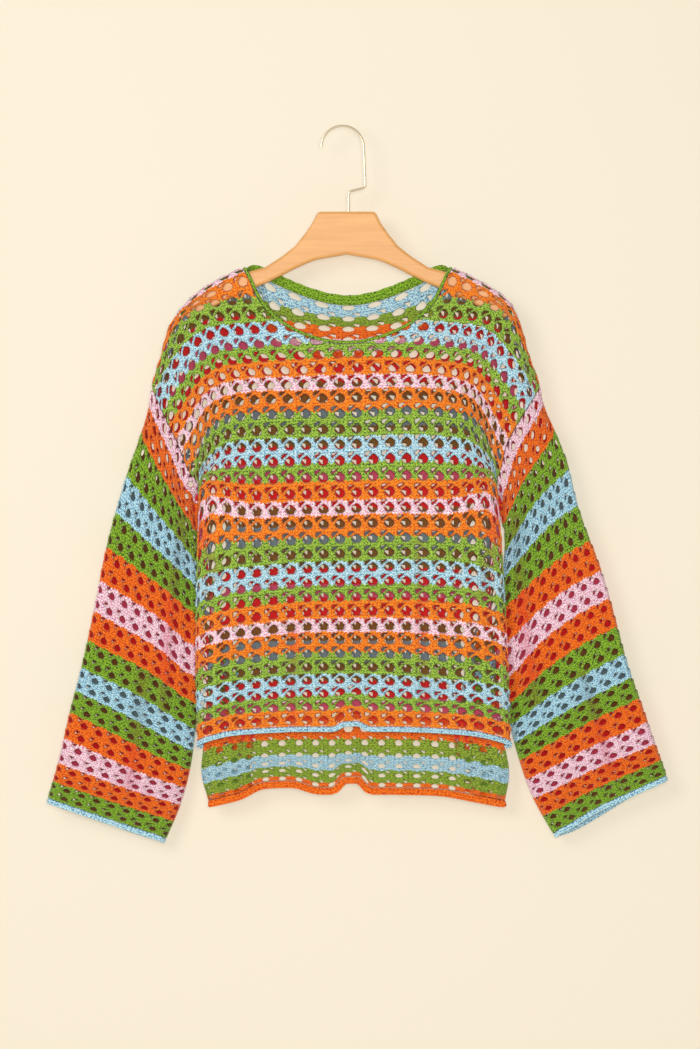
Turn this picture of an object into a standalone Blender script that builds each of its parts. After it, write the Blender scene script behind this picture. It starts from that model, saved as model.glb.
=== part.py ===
"""An open-knit sweater hanging on a wooden hanger, as closed solids in metres with +Z up.

The origin is the inside top of the hook, where the hanger rests on a rail. The front of the sweater
looks along -Y and +X is the viewer's right. Sizes below are millimetres. Each knitted piece is a
wall round a surface: a row is counted down from the shoulder, a column outwards from the middle,
and both are one hole of the net apart.
"""

import math

import bpy
import numpy as np

MM = 0.001
SEAM_GAP = 0.3
HEM_GAP = 0.8
NECK_GAP = 1.6
CLOTH_THICKNESS = 2.4
EDGING_THICKNESS = 2.8

# The net: columns from the middle to the side seam, and the rows of the main places.
SIDE_COLUMN = 13.0
NECK_COLUMN = 4.25
FRONT_HEM_ROW = 31.5
BACK_HEM_ROW = 35.6
FRONT_NECK_ROWS = 5.6
BACK_NECK_ROWS = 1.3
FRONT_NECK_POWER = 1.0
BACK_NECK_POWER = 0.6

# The sweater hangs a little to the right of the hook, and the hanger's middle beside it.
AXIS_X = 7.0
HANGER_X = 5.0

# Guide columns of the net, as columns from the middle, and the sections that give them.
GUIDES = (-3.5, 0.0, 3.5, 5.5, 7.5, 9.5, 11.5, SIDE_COLUMN)

# One line for a section of the panel. Each guide is (out from the middle, depth to the back, drop
# below the hook). "right" widens the wearer's left half. "edge" is the fold at the side of the
# body, and "behind" and "seam" lie behind the body below the underarm.
FRONT_SECTIONS = (
    # row, right, middle (depth, drop), neck, chest, shoulder, edge, behind, seam
    (0.0, -8, (0, 162), (111, 0, 166), (149, 0, 179.5), (186, 1, 203), (208, 6, 231), (220, 12, 272), (226, 13, 300)),
    (0.6, -8, (-7, 164), (110, -7, 168), (148, -7, 181.5), (185, -6.5, 205), (210, 0, 233), (223, 8, 275), (230, 11, 302)),
    (1.2, -9, (-8.3, 172), (108, -8.5, 175), (146, -8.5, 188), (184, -8.5, 210), (212, -5, 237), (225, 4, 279), (233, 8, 305)),
    (2.5, -10, (-9, 203), (101, -9, 206), (139, -9, 209), (178, -9, 217), (207, -9, 243), (226, -5, 284), (235, 3, 312)),
    (4.5, -12, (-9, 239), (92, -9, 242), (131, -9, 245), (165, -9.5, 250), (194, -10, 269), (218, -10, 301), (230, -4, 326)),
    (6.5, -14, (-9.5, 273), (81, -9.5, 276), (121, -9.5, 279), (155, -10, 284), (181, -10.5, 302), (202, -11, 333), (217, -7, 354)),
    (8.5, -14, (-10, 308), (74, -10, 309), (114, -10, 310), (149, -10.5, 316), (172, -10.5, 330), (189, -10.5, 359), (203, -7, 384)),
    (10.5, -8, (-10.5, 345), (71, -10.5, 344), (111, -10.5, 345), (145, -11, 349), (168, -8, 365), (180, -6, 393), (190, -3, 427)),
    (12.5, -1, (-11, 382), (70, -11, 382), (109, -11, 383), (144, -11, 387), (168, -7, 405), (177.6, 0, 432), (175, 8.2, 460)),
    (13.2, -1, (-11.2, 395), (70, -11.2, 395), (109, -11.2, 396), (144, -11, 400), (170.5, -5.5, 418), (177.5, 1.5, 445), (172, 10, 472)),
    (14.2, -1, (-11.4, 415), (70, -11.4, 415), (109, -11.4, 416), (145, -11, 420), (173, -3.5, 436), (178, 3.5, 463), (171.5, 12.3, 490)),
    (16.0, 1, (-11.5, 449), (69, -11.5, 449), (109, -11.5, 450), (145, -11, 454), (176, -1, 468), (177.5, 6, 494), (170, 14.5, 520)),
    (24.5, 8, (-11.5, 598), (69, -11.5, 598), (110, -11.5, 600), (147, -11, 603), (182, 0, 617), (162, 14.8, 642), (132, 14.4, 655)),
    (31.5, 14, (-11.5, 719), (69, -11.5, 719), (110, -11.5, 721), (148, -11, 725), (181, 0, 737), (151, 15.2, 750), (116, 14.6, 757)),
)
BACK_SECTIONS = (
    (0.0, -8, (0, 162), (111, 0, 166), (149, 0, 179.5), (186, 1, 203), (208, 6, 231), (220, 12, 272), (226, 13, 300)),
    (0.6, -8, (7, 168), (110, 7, 168), (148, 7, 181.5), (185, 6.5, 205), (207, 10, 234), (220, 15, 276), (226, 16, 304)),
    (1.2, -9, (8.3, 180), (108, 8.5, 175.5), (146, 8.5, 188), (184, 8.5, 210), (206, 12, 238), (219, 17, 280), (225, 18, 309)),
    (2.5, -10, (9, 209), (101, 9, 207), (139, 9, 211), (177, 9, 219), (203, 13, 246), (218, 18, 288), (226, 18, 320)),
    (4.5, -12, (9, 250), (94, 9, 251), (133, 9, 253), (168, 9.5, 259), (194, 13, 280), (212, 17, 314), (222, 17, 341)),
    (6.5, -14, (8.5, 291), (86, 8.5, 291), (124, 8.5, 293), (157, 9, 299), (182, 12.5, 318), (201, 16, 346), (213, 16, 366)),
    (8.5, -14, (7.5, 331), (77, 7.5, 331), (116, 7.5, 332), (150, 8.5, 337), (171, 12, 351), (188, 14, 376), (203, 14, 396)),
    (10.5, -8, (6, 369), (72, 6, 369), (111, 6, 369), (145, 7, 373), (166, 10, 385), (180, 11, 408), (190, 10, 434)),
    (12.5, -1, (4.5, 408), (70, 4.5, 407), (109, 4.5, 408), (144, 5, 411), (164, 6, 422), (168.6, 5.5, 440), (165.8, 5.0, 460)),
    (13.2, -1, (4, 421), (70, 4, 420), (109, 4, 421), (144, 4.5, 425), (165, 5.5, 435), (171.0, 5.5, 451), (168.6, 7.0, 472)),
    (14.2, -1, (3.5, 439), (70, 3.5, 439), (109, 3.5, 440), (144, 3.8, 444), (165.5, 5, 454), (171.5, 6, 472), (168.5, 9.3, 490)),
    (16.0, 1, (2.5, 472), (69, 2.5, 472), (109, 2.5, 473), (143, 2.7, 476), (165, 5, 486), (169, 7.5, 503), (167.5, 11, 520)),
    (24.5, 8, (2.5, 617), (69, 2.5, 617), (110, 2.5, 618), (143, 2.5, 621), (167, 6.2, 631), (150, 10.3, 646), (132, 11, 655)),
    (31.5, 14, (2.5, 733), (69, 2.5, 733), (110, 2.5, 735), (143, 2.5, 739), (168, 6.4, 748), (141, 10.5, 753), (116, 11, 757)),
    (32.6, 16, (2.5, 752), (69, 2.5, 752), (110, 2.5, 754), (144, 2.5, 759), (172, 6.4, 768), (144, 10.5, 765), (118, 11, 765)),
    (35.6, 20, (2.5, 793), (69, 2.5, 793), (108, 2.5, 795), (141, 2.5, 800), (167, 6.5, 803), (142, 10.5, 799), (116, 11, 795)),
)
BACK_NECK_SAG = 45.0
BACK_NECK_SAG_ROWS = 5.5
WIDENING_COLUMN = 9.5

# The sleeve as it hangs: its outer and inner edges at a row, with half its depth. "right" is how
# much further in the inner edge of the right sleeve lies.
SLEEVE_SECTIONS = (
    # row, half depth, right, outer edge (out, depth, drop), inner edge (out, depth, drop)
    (0.0, 7.5, 0, (232, 4, 305), (172, 7, 460)),
    (1.0, 7.5, 0, (236, 5, 327), (181, 10, 472)),
    (3.0, 7.5, 2, (249, 5, 367), (184, 15, 497)),
    (5.0, 7.0, 4, (266, 5, 421), (183, 18.5, 522)),
    (7.0, 6.5, 6, (279, 5, 467), (181, 21, 549)),
    (9.0, 6.0, 7, (290, 5, 510), (179, 22, 581)),
    (13.0, 6.0, 8, (305, 5, 582), (178, 23, 656)),
    (17.0, 6.0, 8, (320, 5, 649), (185, 22, 721)),
    (21.0, 6.5, 5, (334, 5, 703), (192, 18, 768)),
    (25.0, 7.0, 2, (348, 5, 763), (203, 14, 812)),
    (29.0, 8.0, 0, (360, 4, 805), (220, 12, 853)),
)
SEAM_BLEND_ROWS = 5.0
UNDERARM_CLEAR = (3.6, 7.0)
UNDERARM_REACH = 0.06
RIGHT_SWING = math.radians(2.4)
RIGHT_LENGTH = 0.97

# Soft folds that run up from a hem: middle, half width, how far up, depth and lift at the hem.
FRONT_FOLDS = ((4.0, 17.0, 9.0, -2.2, 7.0),)
BACK_FOLDS = ((4.0, 18.0, 9.0, -2.2, 14.0), (-85.0, 37.0, 8.0, 1.0, 8.5))

# Where the walls get their faces: columns of one half outside the neck, and rows.
OUTER_COLUMNS = (4.9, 5.6, 6.4, 7.2, 8.0, 8.6, 9.1, 9.5, 9.9, 10.4, 11.0, 11.7, 12.4, 13.0)
NECK_ANGLES = (0, 13, 26, 38, 50, 61, 71, 78, 83, 86.5, 90)
NECK_STEPS = len(NECK_ANGLES) - 1
ARMHOLE_ROWS = (0.0, 0.4, 0.8, 1.2, 2.5, 4.0, 5.5, 7.0, 8.5, 9.5, 10.5, 11.5, 12.1, 12.5)
BODY_ROWS = (13.5, 14.75, 16.0, 18.0, 20.0, 22.0, 24.5, 27.0, 29.5, 31.5)
TAIL_ROWS = (32.6, 34.1, 35.6)
SLEEVE_ROWS = (0.0, 0.5, 1.0, 2.0, 3.0, 4.0, 5.5, 7.0, 9.0, 11.0, 13.0, 15.0, 17.0, 19.0, 21.0, 23.0, 25.0, 27.0, 29.0)

FRONT_BAND_WIDTH = 5.5
BACK_BAND_WIDTH = 12.0
FRONT_EDGING_WIDTH = 6.0
BACK_EDGING_WIDTH = 8.5
CUFF_EDGING_WIDTH = 6.0

# The hanger's arm: out from its middle, drop of the upper edge and of the lower edge.
ARM_SECTIONS = (
    (0.0, 101.8, 153.0),
    (34.5, 101.8, 159.0),
    (41.0, 115.0, 161.0),
    (48.4, 126.0, 164.0),
    (61.6, 142.8, 170.0),
    (78.4, 156.0, 178.5),
    (98.0, 168.6, 188.0),
    (119.0, 174.0, 196.5),
    (142.0, 181.2, 207.5),
    (160.0, 189.5, 216.5),
    (174.0, 199.0, 223.5),
    (184.0, 208.0, 228.0),
    (190.5, 216.5, 229.0),
    (194.0, 222.0, 226.0),
)
HANGER_DEPTH = 12.0
HANGER_EDGE_RADIUS = 3.6

WIRE_RADIUS = 1.5
HOOK_RADIUS = 25.5
STEM_X = 7.5
STEM_SINK = 18.0
BORE_CLEARANCE = 0.3


def remove_startup_objects():
    """Empties the scene of the objects that it opens with."""
    for thing in list(bpy.data.objects):
        bpy.data.objects.remove(thing, do_unlink=True)


def finish(name, colour, roughness, metallic=0.0):
    """Makes one plain surface finish."""
    material = bpy.data.materials.new(name)
    material.use_nodes = True
    shader = material.node_tree.nodes["Principled BSDF"]
    shader.inputs["Base Color"].default_value = (*colour, 1.0)
    shader.inputs["Roughness"].default_value = roughness
    shader.inputs["Metallic"].default_value = metallic
    return material


def ease(value):
    """Goes smoothly from 0 to 1 as the value does."""
    clipped = np.clip(value, 0.0, 1.0)
    return clipped * clipped * (3.0 - 2.0 * clipped)


def curve_weights(knots, places):
    """How much each knot counts at each place on a smooth curve through all the knots."""
    knots = np.asarray(knots, float)
    places = np.atleast_1d(np.asarray(places, float))
    count = len(knots)
    slopes = np.zeros((count, count))
    for i in range(count):
        before, after = max(i - 1, 0), min(i + 1, count - 1)
        if 0 < i < count - 1:
            left, right = knots[i] - knots[before], knots[after] - knots[i]
            total = left + right
            slopes[i, before] -= right / (left * total)
            slopes[i, after] += left / (right * total)
            slopes[i, i] += right / (left * total) - left / (right * total)
        else:
            span = knots[after] - knots[before]
            slopes[i, before] -= 1.0 / span
            slopes[i, after] += 1.0 / span
    start = np.clip(np.searchsorted(knots, places, side="right") - 1, 0, count - 2)
    span = knots[start + 1] - knots[start]
    along = (places - knots[start]) / span
    weights = np.zeros((len(places), count))
    rows = np.arange(len(places))
    weights[rows, start] += 2 * along**3 - 3 * along**2 + 1
    weights[rows, start + 1] += 3 * along**2 - 2 * along**3
    weights += ((along**3 - 2 * along**2 + along) * span)[:, None] * slopes[start]
    weights += ((along**3 - along**2) * span)[:, None] * slopes[start + 1]
    return weights


def guide_table(sections):
    """The sections as arrays: rows, widening, and a point for each guide column."""
    rows = [section[0] for section in sections]
    widening = [section[1] for section in sections]
    points = []
    for section in sections:
        middle, neck = (0.0, *section[2]), section[3]
        points.append([(-neck[0], neck[1], neck[2]), middle, *section[3:]])
    return np.array(rows), np.array(widening, float), np.array(points, float)


def hem_folds(points, rows, hem_row, folds):
    """Adds the soft folds that run up from the hem."""
    for middle, half_width, reach, depth, lift in folds:
        bump = np.exp(-(((points[..., 0] - AXIS_X - middle) / half_width) ** 4))
        strength = bump * ease(1.0 - (hem_row - rows) / reach)
        points[..., 1] += depth * strength
        points[..., 2] += lift * strength * ease(1.0 - (hem_row - rows) / (0.6 * reach))
    return points


def panel_points(sections, columns, rows):
    """Points of a panel's middle surface at these columns and rows, arrays of the same shape."""
    is_back = sections is BACK_SECTIONS
    columns, rows = np.broadcast_arrays(np.asarray(columns, float), np.asarray(rows, float))
    shape = columns.shape
    flat_columns, flat_rows = columns.ravel(), rows.ravel()
    out = np.abs(flat_columns)
    table_rows, widening, guides = guide_table(sections)
    by_row = curve_weights(table_rows, flat_rows)
    by_column = curve_weights(GUIDES, out)
    points = np.einsum("pr,pc,rcx->px", by_row, by_column, guides)
    wider = (by_row @ widening) * np.minimum(1.0, (out / WIDENING_COLUMN) ** 2)
    points[:, 0] = np.where(flat_columns > 0, points[:, 0] + wider, -points[:, 0])
    if is_back:
        across = np.maximum(0.0, 1.0 - (out / NECK_COLUMN) ** 2) ** 1.5
        fading = np.maximum(0.0, 1.0 - flat_rows / BACK_NECK_SAG_ROWS) ** 1.3
        points[:, 2] += BACK_NECK_SAG * across * fading
    points[:, 0] += AXIS_X
    points[:, 2] *= -1.0
    hem_row = BACK_HEM_ROW if is_back else FRONT_HEM_ROW
    main = np.where(out < 9.0, flat_rows, -99.0)
    points = hem_folds(points, main, hem_row, BACK_FOLDS if is_back else FRONT_FOLDS)
    return points.reshape(*shape, 3)


def panel_grid(sections, neck_rows, neck_squareness, row_list):
    """Columns and rows of a panel's faces. The rows above the neckline close up under it."""
    angles = np.radians(NECK_ANGLES)
    half = np.concatenate([NECK_COLUMN * np.sin(angles), OUTER_COLUMNS])
    top = np.concatenate([neck_rows * np.abs(np.cos(angles)) ** neck_squareness, np.zeros(len(OUTER_COLUMNS))])
    columns = np.concatenate([-half[:0:-1], half])
    tops = np.concatenate([top[:0:-1], top])
    share = np.array(row_list) / row_list[-1]
    rows = tops[None, :] + share[:, None] * (row_list[-1] - tops[None, :])
    return panel_points(sections, np.broadcast_to(columns, rows.shape), rows)


def surface_normals(grid, closed=False):
    """Unit normals of a grid of points. A closed grid goes round in its second index."""
    down = np.gradient(grid, axis=0)
    if closed:
        across = np.roll(grid, -1, axis=1) - np.roll(grid, 1, axis=1)
    else:
        across = np.gradient(grid, axis=1)
    normals = np.cross(across, down)
    return normals / np.linalg.norm(normals, axis=-1, keepdims=True)


def armhole(side, rows):
    """Front and back seam points of one armhole, at these rows."""
    columns = np.full(len(rows), side * SIDE_COLUMN)
    return panel_points(FRONT_SECTIONS, columns, rows), panel_points(BACK_SECTIONS, columns, rows)


def armhole_ring(side, rows):
    """The whole armhole as a ring: down the front seam and up the back seam."""
    front, back = armhole(side, rows)
    return np.concatenate([front, back[:0:-1]])


def ring_lengths(ring):
    """How far along a closed ring each point lies, as a share of the whole."""
    steps = np.linalg.norm(np.roll(ring, -1, axis=0) - ring, axis=1)
    return np.concatenate([[0.0], np.cumsum(steps)[:-1]]) / steps.sum()


def flat_tube(shares, width, half_depth):
    """Points round a flattened tube: out from its outer edge to its inner edge, and depth."""
    shares = np.asarray(shares) % 1.0
    straight = width - 2.0 * half_depth
    arc = math.pi * half_depth
    total = 2.0 * straight + 2.0 * arc
    place = (shares * total + arc / 2.0) % total
    across = np.empty_like(place)
    depth = np.empty_like(place)
    first = place < arc
    angle = place / half_depth
    across[first] = half_depth * (1.0 - np.sin(angle[first]))
    depth[first] = half_depth * np.cos(angle[first])
    front = (place >= arc) & (place < arc + straight)
    across[front] = half_depth + (place - arc)[front]
    depth[front] = -half_depth
    second = (place >= arc + straight) & (place < 2.0 * arc + straight)
    angle = (place - arc - straight) / half_depth
    across[second] = width - half_depth * (1.0 - np.sin(angle[second]))
    depth[second] = -half_depth * np.cos(angle[second])
    back = place >= 2.0 * arc + straight
    across[back] = half_depth + (total - place)[back]
    depth[back] = half_depth
    return across, depth


def sleeve_points(side, ring, shares, rows):
    """Points of a sleeve's middle surface for each row, round the ring at these shares."""
    table = np.array([[*s[:3], *s[3], *s[4]] for s in SLEEVE_SECTIONS], float)
    values = curve_weights(table[:, 0], rows) @ table[:, 1:]
    grid = np.empty((len(rows), len(shares), 3))
    pivot = np.array([232.0, 305.0])
    for i, row in enumerate(rows):
        half_depth, outer, inner = values[i, 0], values[i, 2:5].copy(), values[i, 5:8].copy()
        if side > 0:
            inner[0] -= values[i, 1]
            turn = RIGHT_SWING * float(ease(row / SEAM_BLEND_ROWS))
            scale = 1.0 + (RIGHT_LENGTH - 1.0) * float(ease(row / SEAM_BLEND_ROWS))
            for edge in (outer, inner):
                away = (edge[[0, 2]] - pivot) * scale
                edge[0] = pivot[0] + away[0] * math.cos(turn) + away[1] * math.sin(turn)
                edge[2] = pivot[1] + away[1] * math.cos(turn) - away[0] * math.sin(turn)
        width = math.hypot(*(inner - outer)[[0, 2]])
        across, depth = flat_tube(shares, width, half_depth)
        along = (across / width)[:, None]
        points = outer + (inner - outer) * along
        points[:, 1] += depth
        points[:, 0] = AXIS_X + side * points[:, 0]
        points[:, 2] *= -1.0
        blend = float(ease(row / SEAM_BLEND_ROWS))
        grid[i] = ring * (1.0 - blend) + points * blend
        if 0.0 < row < SEAM_BLEND_ROWS:
            drift = (points - tube_at_seam(side, shares)) * (1.0 - blend)
            grid[i] += drift
        near_underarm = np.exp(-(((shares - underarm_share(ring, shares)) / UNDERARM_REACH) ** 2))
        clear = near_underarm * (1.0 - float(ease(row / 3.0)))
        grid[i, :, 0] += side * UNDERARM_CLEAR[0] * clear
        grid[i, :, 1] += UNDERARM_CLEAR[1] * clear
    return grid


def underarm_share(ring, shares):
    """Where the lowest point of the armhole lies on its ring."""
    return shares[np.argmin(ring[:, 2])]


def tube_at_seam(side, shares):
    """The plain flattened tube where the sleeve begins."""
    _, half_depth, _, outer, inner = SLEEVE_SECTIONS[0]
    outer, inner = np.array(outer, float), np.array(inner, float)
    width = math.hypot(*(inner - outer)[[0, 2]])
    across, depth = flat_tube(shares, width, half_depth)
    points = outer + (inner - outer) * (across / width)[:, None]
    points[:, 1] += depth
    points[:, 0] = AXIS_X + side * points[:, 0]
    points[:, 2] *= -1.0
    return points


def mesh_object(name, vertices, faces, material):
    """Makes one object of these vertices, in millimetres, with its faces turned outwards."""
    corners = np.asarray(vertices)
    volume = 0.0
    for face in faces:
        for i in range(1, len(face) - 1):
            volume += np.linalg.det(corners[[face[0], face[i], face[i + 1]]])
    if volume < 0:
        faces = [tuple(reversed(face)) for face in faces]
    mesh = bpy.data.meshes.new(name)
    mesh.from_pydata((corners * MM).tolist(), [], faces)
    mesh.materials.append(material)
    mesh.shade_smooth()
    mesh.set_sharp_from_angle(angle=math.radians(50))
    thing = bpy.data.objects.new(name, mesh)
    bpy.context.scene.collection.objects.link(thing)
    return thing


def wall(name, grid, normals, material, closed=False):
    """A cloth wall round a grid of points, half of its thickness to each side."""
    count_down, count_across = grid.shape[:2]
    half = 0.5 * CLOTH_THICKNESS * normals
    vertices = np.concatenate([(grid + half).reshape(-1, 3), (grid - half).reshape(-1, 3)])
    other = count_down * count_across

    def corner(i, j, layer):
        return layer * other + i * count_across + j % count_across

    faces = []
    spans = count_across if closed else count_across - 1
    for i in range(count_down - 1):
        for j in range(spans):
            ring = [(i, j), (i + 1, j), (i + 1, j + 1), (i, j + 1)]
            faces.append(tuple(corner(a, b, 0) for a, b in ring))
            faces.append(tuple(corner(a, b, 1) for a, b in reversed(ring)))
    for j in range(spans):
        for i in (0, count_down - 1):
            rim = [corner(i, j, 0), corner(i, j + 1, 0), corner(i, j + 1, 1), corner(i, j, 1)]
            faces.append(tuple(rim if i == 0 else reversed(rim)))
    if not closed:
        for i in range(count_down - 1):
            for j in (0, count_across - 1):
                rim = [corner(i, j, 0), corner(i, j, 1), corner(i + 1, j, 1), corner(i + 1, j, 0)]
                faces.append(tuple(rim if j == 0 else reversed(rim)))
    return mesh_object(name, vertices, faces, material)


def edging(name, edge, away, normals, widths, material, gap=SEAM_GAP, closed=False):
    """A knitted edging along an edge: its section bulges a little in the middle."""
    half = 0.5 * EDGING_THICKNESS
    section = ((0.0, half * 0.85), (0.5, half), (1.0, half * 0.6))
    profile = section + tuple((along, -side) for along, side in reversed(section))
    widths = np.broadcast_to(np.asarray(widths, float), (len(edge),))
    gaps = np.broadcast_to(np.asarray(gap, float), (len(edge),))
    rings = []
    for point, out, normal, width, start in zip(edge, away, normals, widths, gaps, strict=True):
        rings.append([point + out * (start + along * width) + normal * side for along, side in profile])
    vertices = np.array(rings).reshape(-1, 3)
    size = len(profile)
    faces = []
    last = len(edge) if closed else len(edge) - 1
    for i in range(last):
        after = (i + 1) % len(edge)
        for k in range(size):
            following = (k + 1) % size
            faces.append((i * size + k, i * size + following, after * size + following, after * size + k))
    if not closed:
        faces.append(tuple(range(size))[::-1])
        faces.append(tuple((len(edge) - 1) * size + k for k in range(size)))
    return mesh_object(name, vertices, faces, material)


def unit(vectors):
    """The same directions, one long."""
    return vectors / np.linalg.norm(vectors, axis=-1, keepdims=True)


def away_from_edge(grid, normals, index, inside, closed=False):
    """Unit directions in the surface, square to one border of a grid and pointing out of it."""
    edge = grid[index]
    along = np.roll(edge, -1, axis=0) - np.roll(edge, 1, axis=0)
    if not closed:
        along[0], along[-1] = edge[1] - edge[0], edge[-1] - edge[-2]
    away = unit(np.cross(along, normals[index]))
    outward = np.einsum("ij,ij->i", away, edge - grid[inside])
    return away * np.sign(outward)[:, None]


def share_normals(first, second):
    """Gives two borders that meet one set of normals, so that their edges lie face to face."""
    same_way = np.sign(np.einsum("ij,ij->i", first, second))[:, None]
    shared = unit(first + second * same_way)
    return shared, shared * same_way


def build_sweater(knit):
    """Front, back, two sleeves, and the edgings of neck, hems and cuffs."""
    front_rows = ARMHOLE_ROWS + BODY_ROWS
    front = panel_grid(FRONT_SECTIONS, FRONT_NECK_ROWS, FRONT_NECK_POWER, front_rows)
    back = panel_grid(BACK_SECTIONS, BACK_NECK_ROWS, BACK_NECK_POWER, front_rows + TAIL_ROWS)
    front_normals, back_normals = surface_normals(front), surface_normals(back)
    outer = len(OUTER_COLUMNS)
    shoulders = [*range(outer + 1), *range(outer + 2 * NECK_STEPS, front.shape[1])]
    front_top, back_top = share_normals(front_normals[0, shoulders], -back_normals[0, shoulders])
    front_normals[0, shoulders], back_normals[0, shoulders] = front_top, -back_top

    seam = len(ARMHOLE_ROWS)
    for side, name in ((-1, "left"), (1, "right")):
        border = 0 if side < 0 else -1
        ring = armhole_ring(side, ARMHOLE_ROWS)
        sleeve = sleeve_points(side, ring, ring_lengths(ring), SLEEVE_ROWS)
        normals = surface_normals(sleeve, closed=True)
        for panel, places in ((front_normals, range(seam)), (back_normals, [0, *range(len(ring) - 1, seam - 1, -1)])):
            places = list(places)
            panel[:seam, border], normals[0, places] = share_normals(panel[:seam, border], normals[0, places])
        sleeve[0] -= SEAM_GAP * away_from_edge(sleeve, normals, 0, 1, closed=True)
        wall("sleeve_" + name, sleeve, normals, knit["orange"], closed=True)
        away = away_from_edge(sleeve, normals, -1, -2, closed=True)
        edging("cuff_edging_" + name, sleeve[-1], away, normals[-1], CUFF_EDGING_WIDTH, knit["blue"], closed=True)

    build_neckband(front, back, front_normals, back_normals, knit["green"])
    for grid, normals in ((front, front_normals), (back, back_normals)):
        grid[0, shoulders] -= SEAM_GAP / 2.0 * away_from_edge(grid, normals, 0, 1)[shoulders]
    wall("front_panel", front, front_normals, knit["orange"])
    wall("back_panel", back, back_normals, knit["green"])
    for name, grid, normals, width, colour in (
        ("front_hem_edging", front, front_normals, FRONT_EDGING_WIDTH, "blue"),
        ("back_hem_edging", back, back_normals, BACK_EDGING_WIDTH, "orange"),
    ):
        away = away_from_edge(grid, normals, -1, -2)
        edging(name, grid[-1], away, normals[-1], width, knit[colour], gap=HEM_GAP)


def build_neckband(front, back, front_normals, back_normals, material):
    """The band round the neck, narrow and rolled in front and taller behind."""
    centre = len(OUTER_COLUMNS) + NECK_STEPS
    across = slice(centre - NECK_STEPS, centre + NECK_STEPS + 1)
    front_away = away_from_edge(front[:, across], front_normals[:, across], 0, 1)
    back_away = away_from_edge(back[:, across], back_normals[:, across], 0, 1)
    front_away[[0, -1]] = back_away[[0, -1]] = unit(front_away[[0, -1]] + back_away[[0, -1]])
    edge = np.concatenate([front[0, across], back[0, across][-2:0:-1]])
    normals = np.concatenate([front_normals[0, across], -back_normals[0, across][-2:0:-1]])
    away = np.concatenate([front_away, back_away[-2:0:-1]])
    half = np.cos(np.radians(NECK_ANGLES))
    taller = ease(np.concatenate([half[-2:0:-1], half[:-1]]) * 1.6) * (BACK_BAND_WIDTH - FRONT_BAND_WIDTH)
    widths = FRONT_BAND_WIDTH + np.concatenate([np.zeros(len(front_away)), taller])
    corner = np.concatenate([half[::-1], half[1:], half[-2:0:-1], half[:-1]])
    gaps = SEAM_GAP + (NECK_GAP - SEAM_GAP) * (1.0 - ease(corner * 4.0))
    edging("neckband", edge, away, normals, widths, material, gap=gaps, closed=True)


def build_hanger(wood):
    """The flat wooden hanger, with its two arms and a bore for the hook's stem."""
    upper = [(HANGER_X + s[0], -s[1]) for s in ARM_SECTIONS]
    lower = [(HANGER_X + s[0], -s[2]) for s in ARM_SECTIONS]
    mirrored_upper = [(2 * HANGER_X - x, z) for x, z in upper[:0:-1]]
    mirrored_lower = [(2 * HANGER_X - x, z) for x, z in lower[1:]]
    outline = mirrored_upper + upper + lower[::-1] + mirrored_lower
    half = HANGER_DEPTH / 2.0
    count = len(outline)
    vertices = [(x, -half, z) for x, z in outline] + [(x, half, z) for x, z in outline]
    faces = [tuple(range(count)), tuple(range(2 * count - 1, count - 1, -1))]
    faces += [((i + 1) % count, i, count + i, count + (i + 1) % count) for i in range(count)]
    hanger = mesh_object("hanger_wood", vertices, faces, wood)
    bevel = hanger.modifiers.new("Rounded edges", "BEVEL")
    bevel.width = HANGER_EDGE_RADIUS * MM
    bevel.segments = 3
    bevel.limit_method = "ANGLE"
    bevel.angle_limit = math.radians(50)
    top = -ARM_SECTIONS[0][1]
    bpy.ops.mesh.primitive_cylinder_add(
        vertices=16,
        radius=(WIRE_RADIUS + BORE_CLEARANCE) * MM,
        depth=2 * (STEM_SINK + 1.0) * MM,
        location=(STEM_X * MM, 0.0, top * MM),
    )
    drill = bpy.context.object
    drill.name = "stem_drill"
    drill.hide_render = True
    drill.display_type = "WIRE"
    bore = hanger.modifiers.new("Stem bore", "BOOLEAN")
    bore.operation = "DIFFERENCE"
    bore.object = drill
    return hanger


def hook_path():
    """Middle line of the hook's wire, from its tip over the top and down into the hanger."""
    middle = WIRE_RADIUS - HOOK_RADIUS
    points = []
    for step in range(17):
        angle = math.radians(180.0 - 180.0 * step / 16.0)
        points.append((HOOK_RADIUS * math.cos(angle), middle + HOOK_RADIUS * math.sin(angle)))
    bend = 4.0
    corner, elbow = (27.5, -72.5), (STEM_X, -77.5)
    foot = (STEM_X, -ARM_SECTIONS[0][1] - STEM_SINK)
    points.append((26.6, -50.0))
    for here, before, after in ((corner, points[-1], elbow), (elbow, corner, foot)):
        into = unit(np.array(here) - np.array(before))
        out = unit(np.array(after) - np.array(here))
        for step in range(5):
            share = step / 4.0
            first = np.array(here) - into * bend * (1.0 - share)
            second = np.array(here) + out * bend * share
            points.append(tuple(first * (1.0 - share) + second * share))
    points.append(foot)
    return points


def build_hook(steel):
    """The hook, one bent steel wire."""
    line = bpy.data.curves.new("hook", "CURVE")
    line.dimensions = "3D"
    line.bevel_depth = WIRE_RADIUS * MM
    line.bevel_resolution = 3
    line.use_fill_caps = True
    spline = line.splines.new("POLY")
    path = hook_path()
    spline.points.add(len(path) - 1)
    for point, (x, z) in zip(spline.points, path, strict=True):
        point.co = (x * MM, 0.0, z * MM, 1.0)
    line.materials.append(steel)
    hook = bpy.data.objects.new("hook", line)
    bpy.context.scene.collection.objects.link(hook)
    return hook


def main():
    """Builds every piece in its place."""
    remove_startup_objects()
    knit = {
        "orange": finish("Orange knit", (0.98, 0.21, 0.01), 0.85),
        "green": finish("Green knit", (0.26, 0.43, 0.04), 0.85),
        "blue": finish("Blue knit", (0.35, 0.68, 0.83), 0.85),
    }
    build_sweater(knit)
    build_hanger(finish("Beech", (0.90, 0.52, 0.20), 0.45))
    build_hook(finish("Steel wire", (0.72, 0.70, 0.66), 0.25, 1.0))


main()
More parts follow.
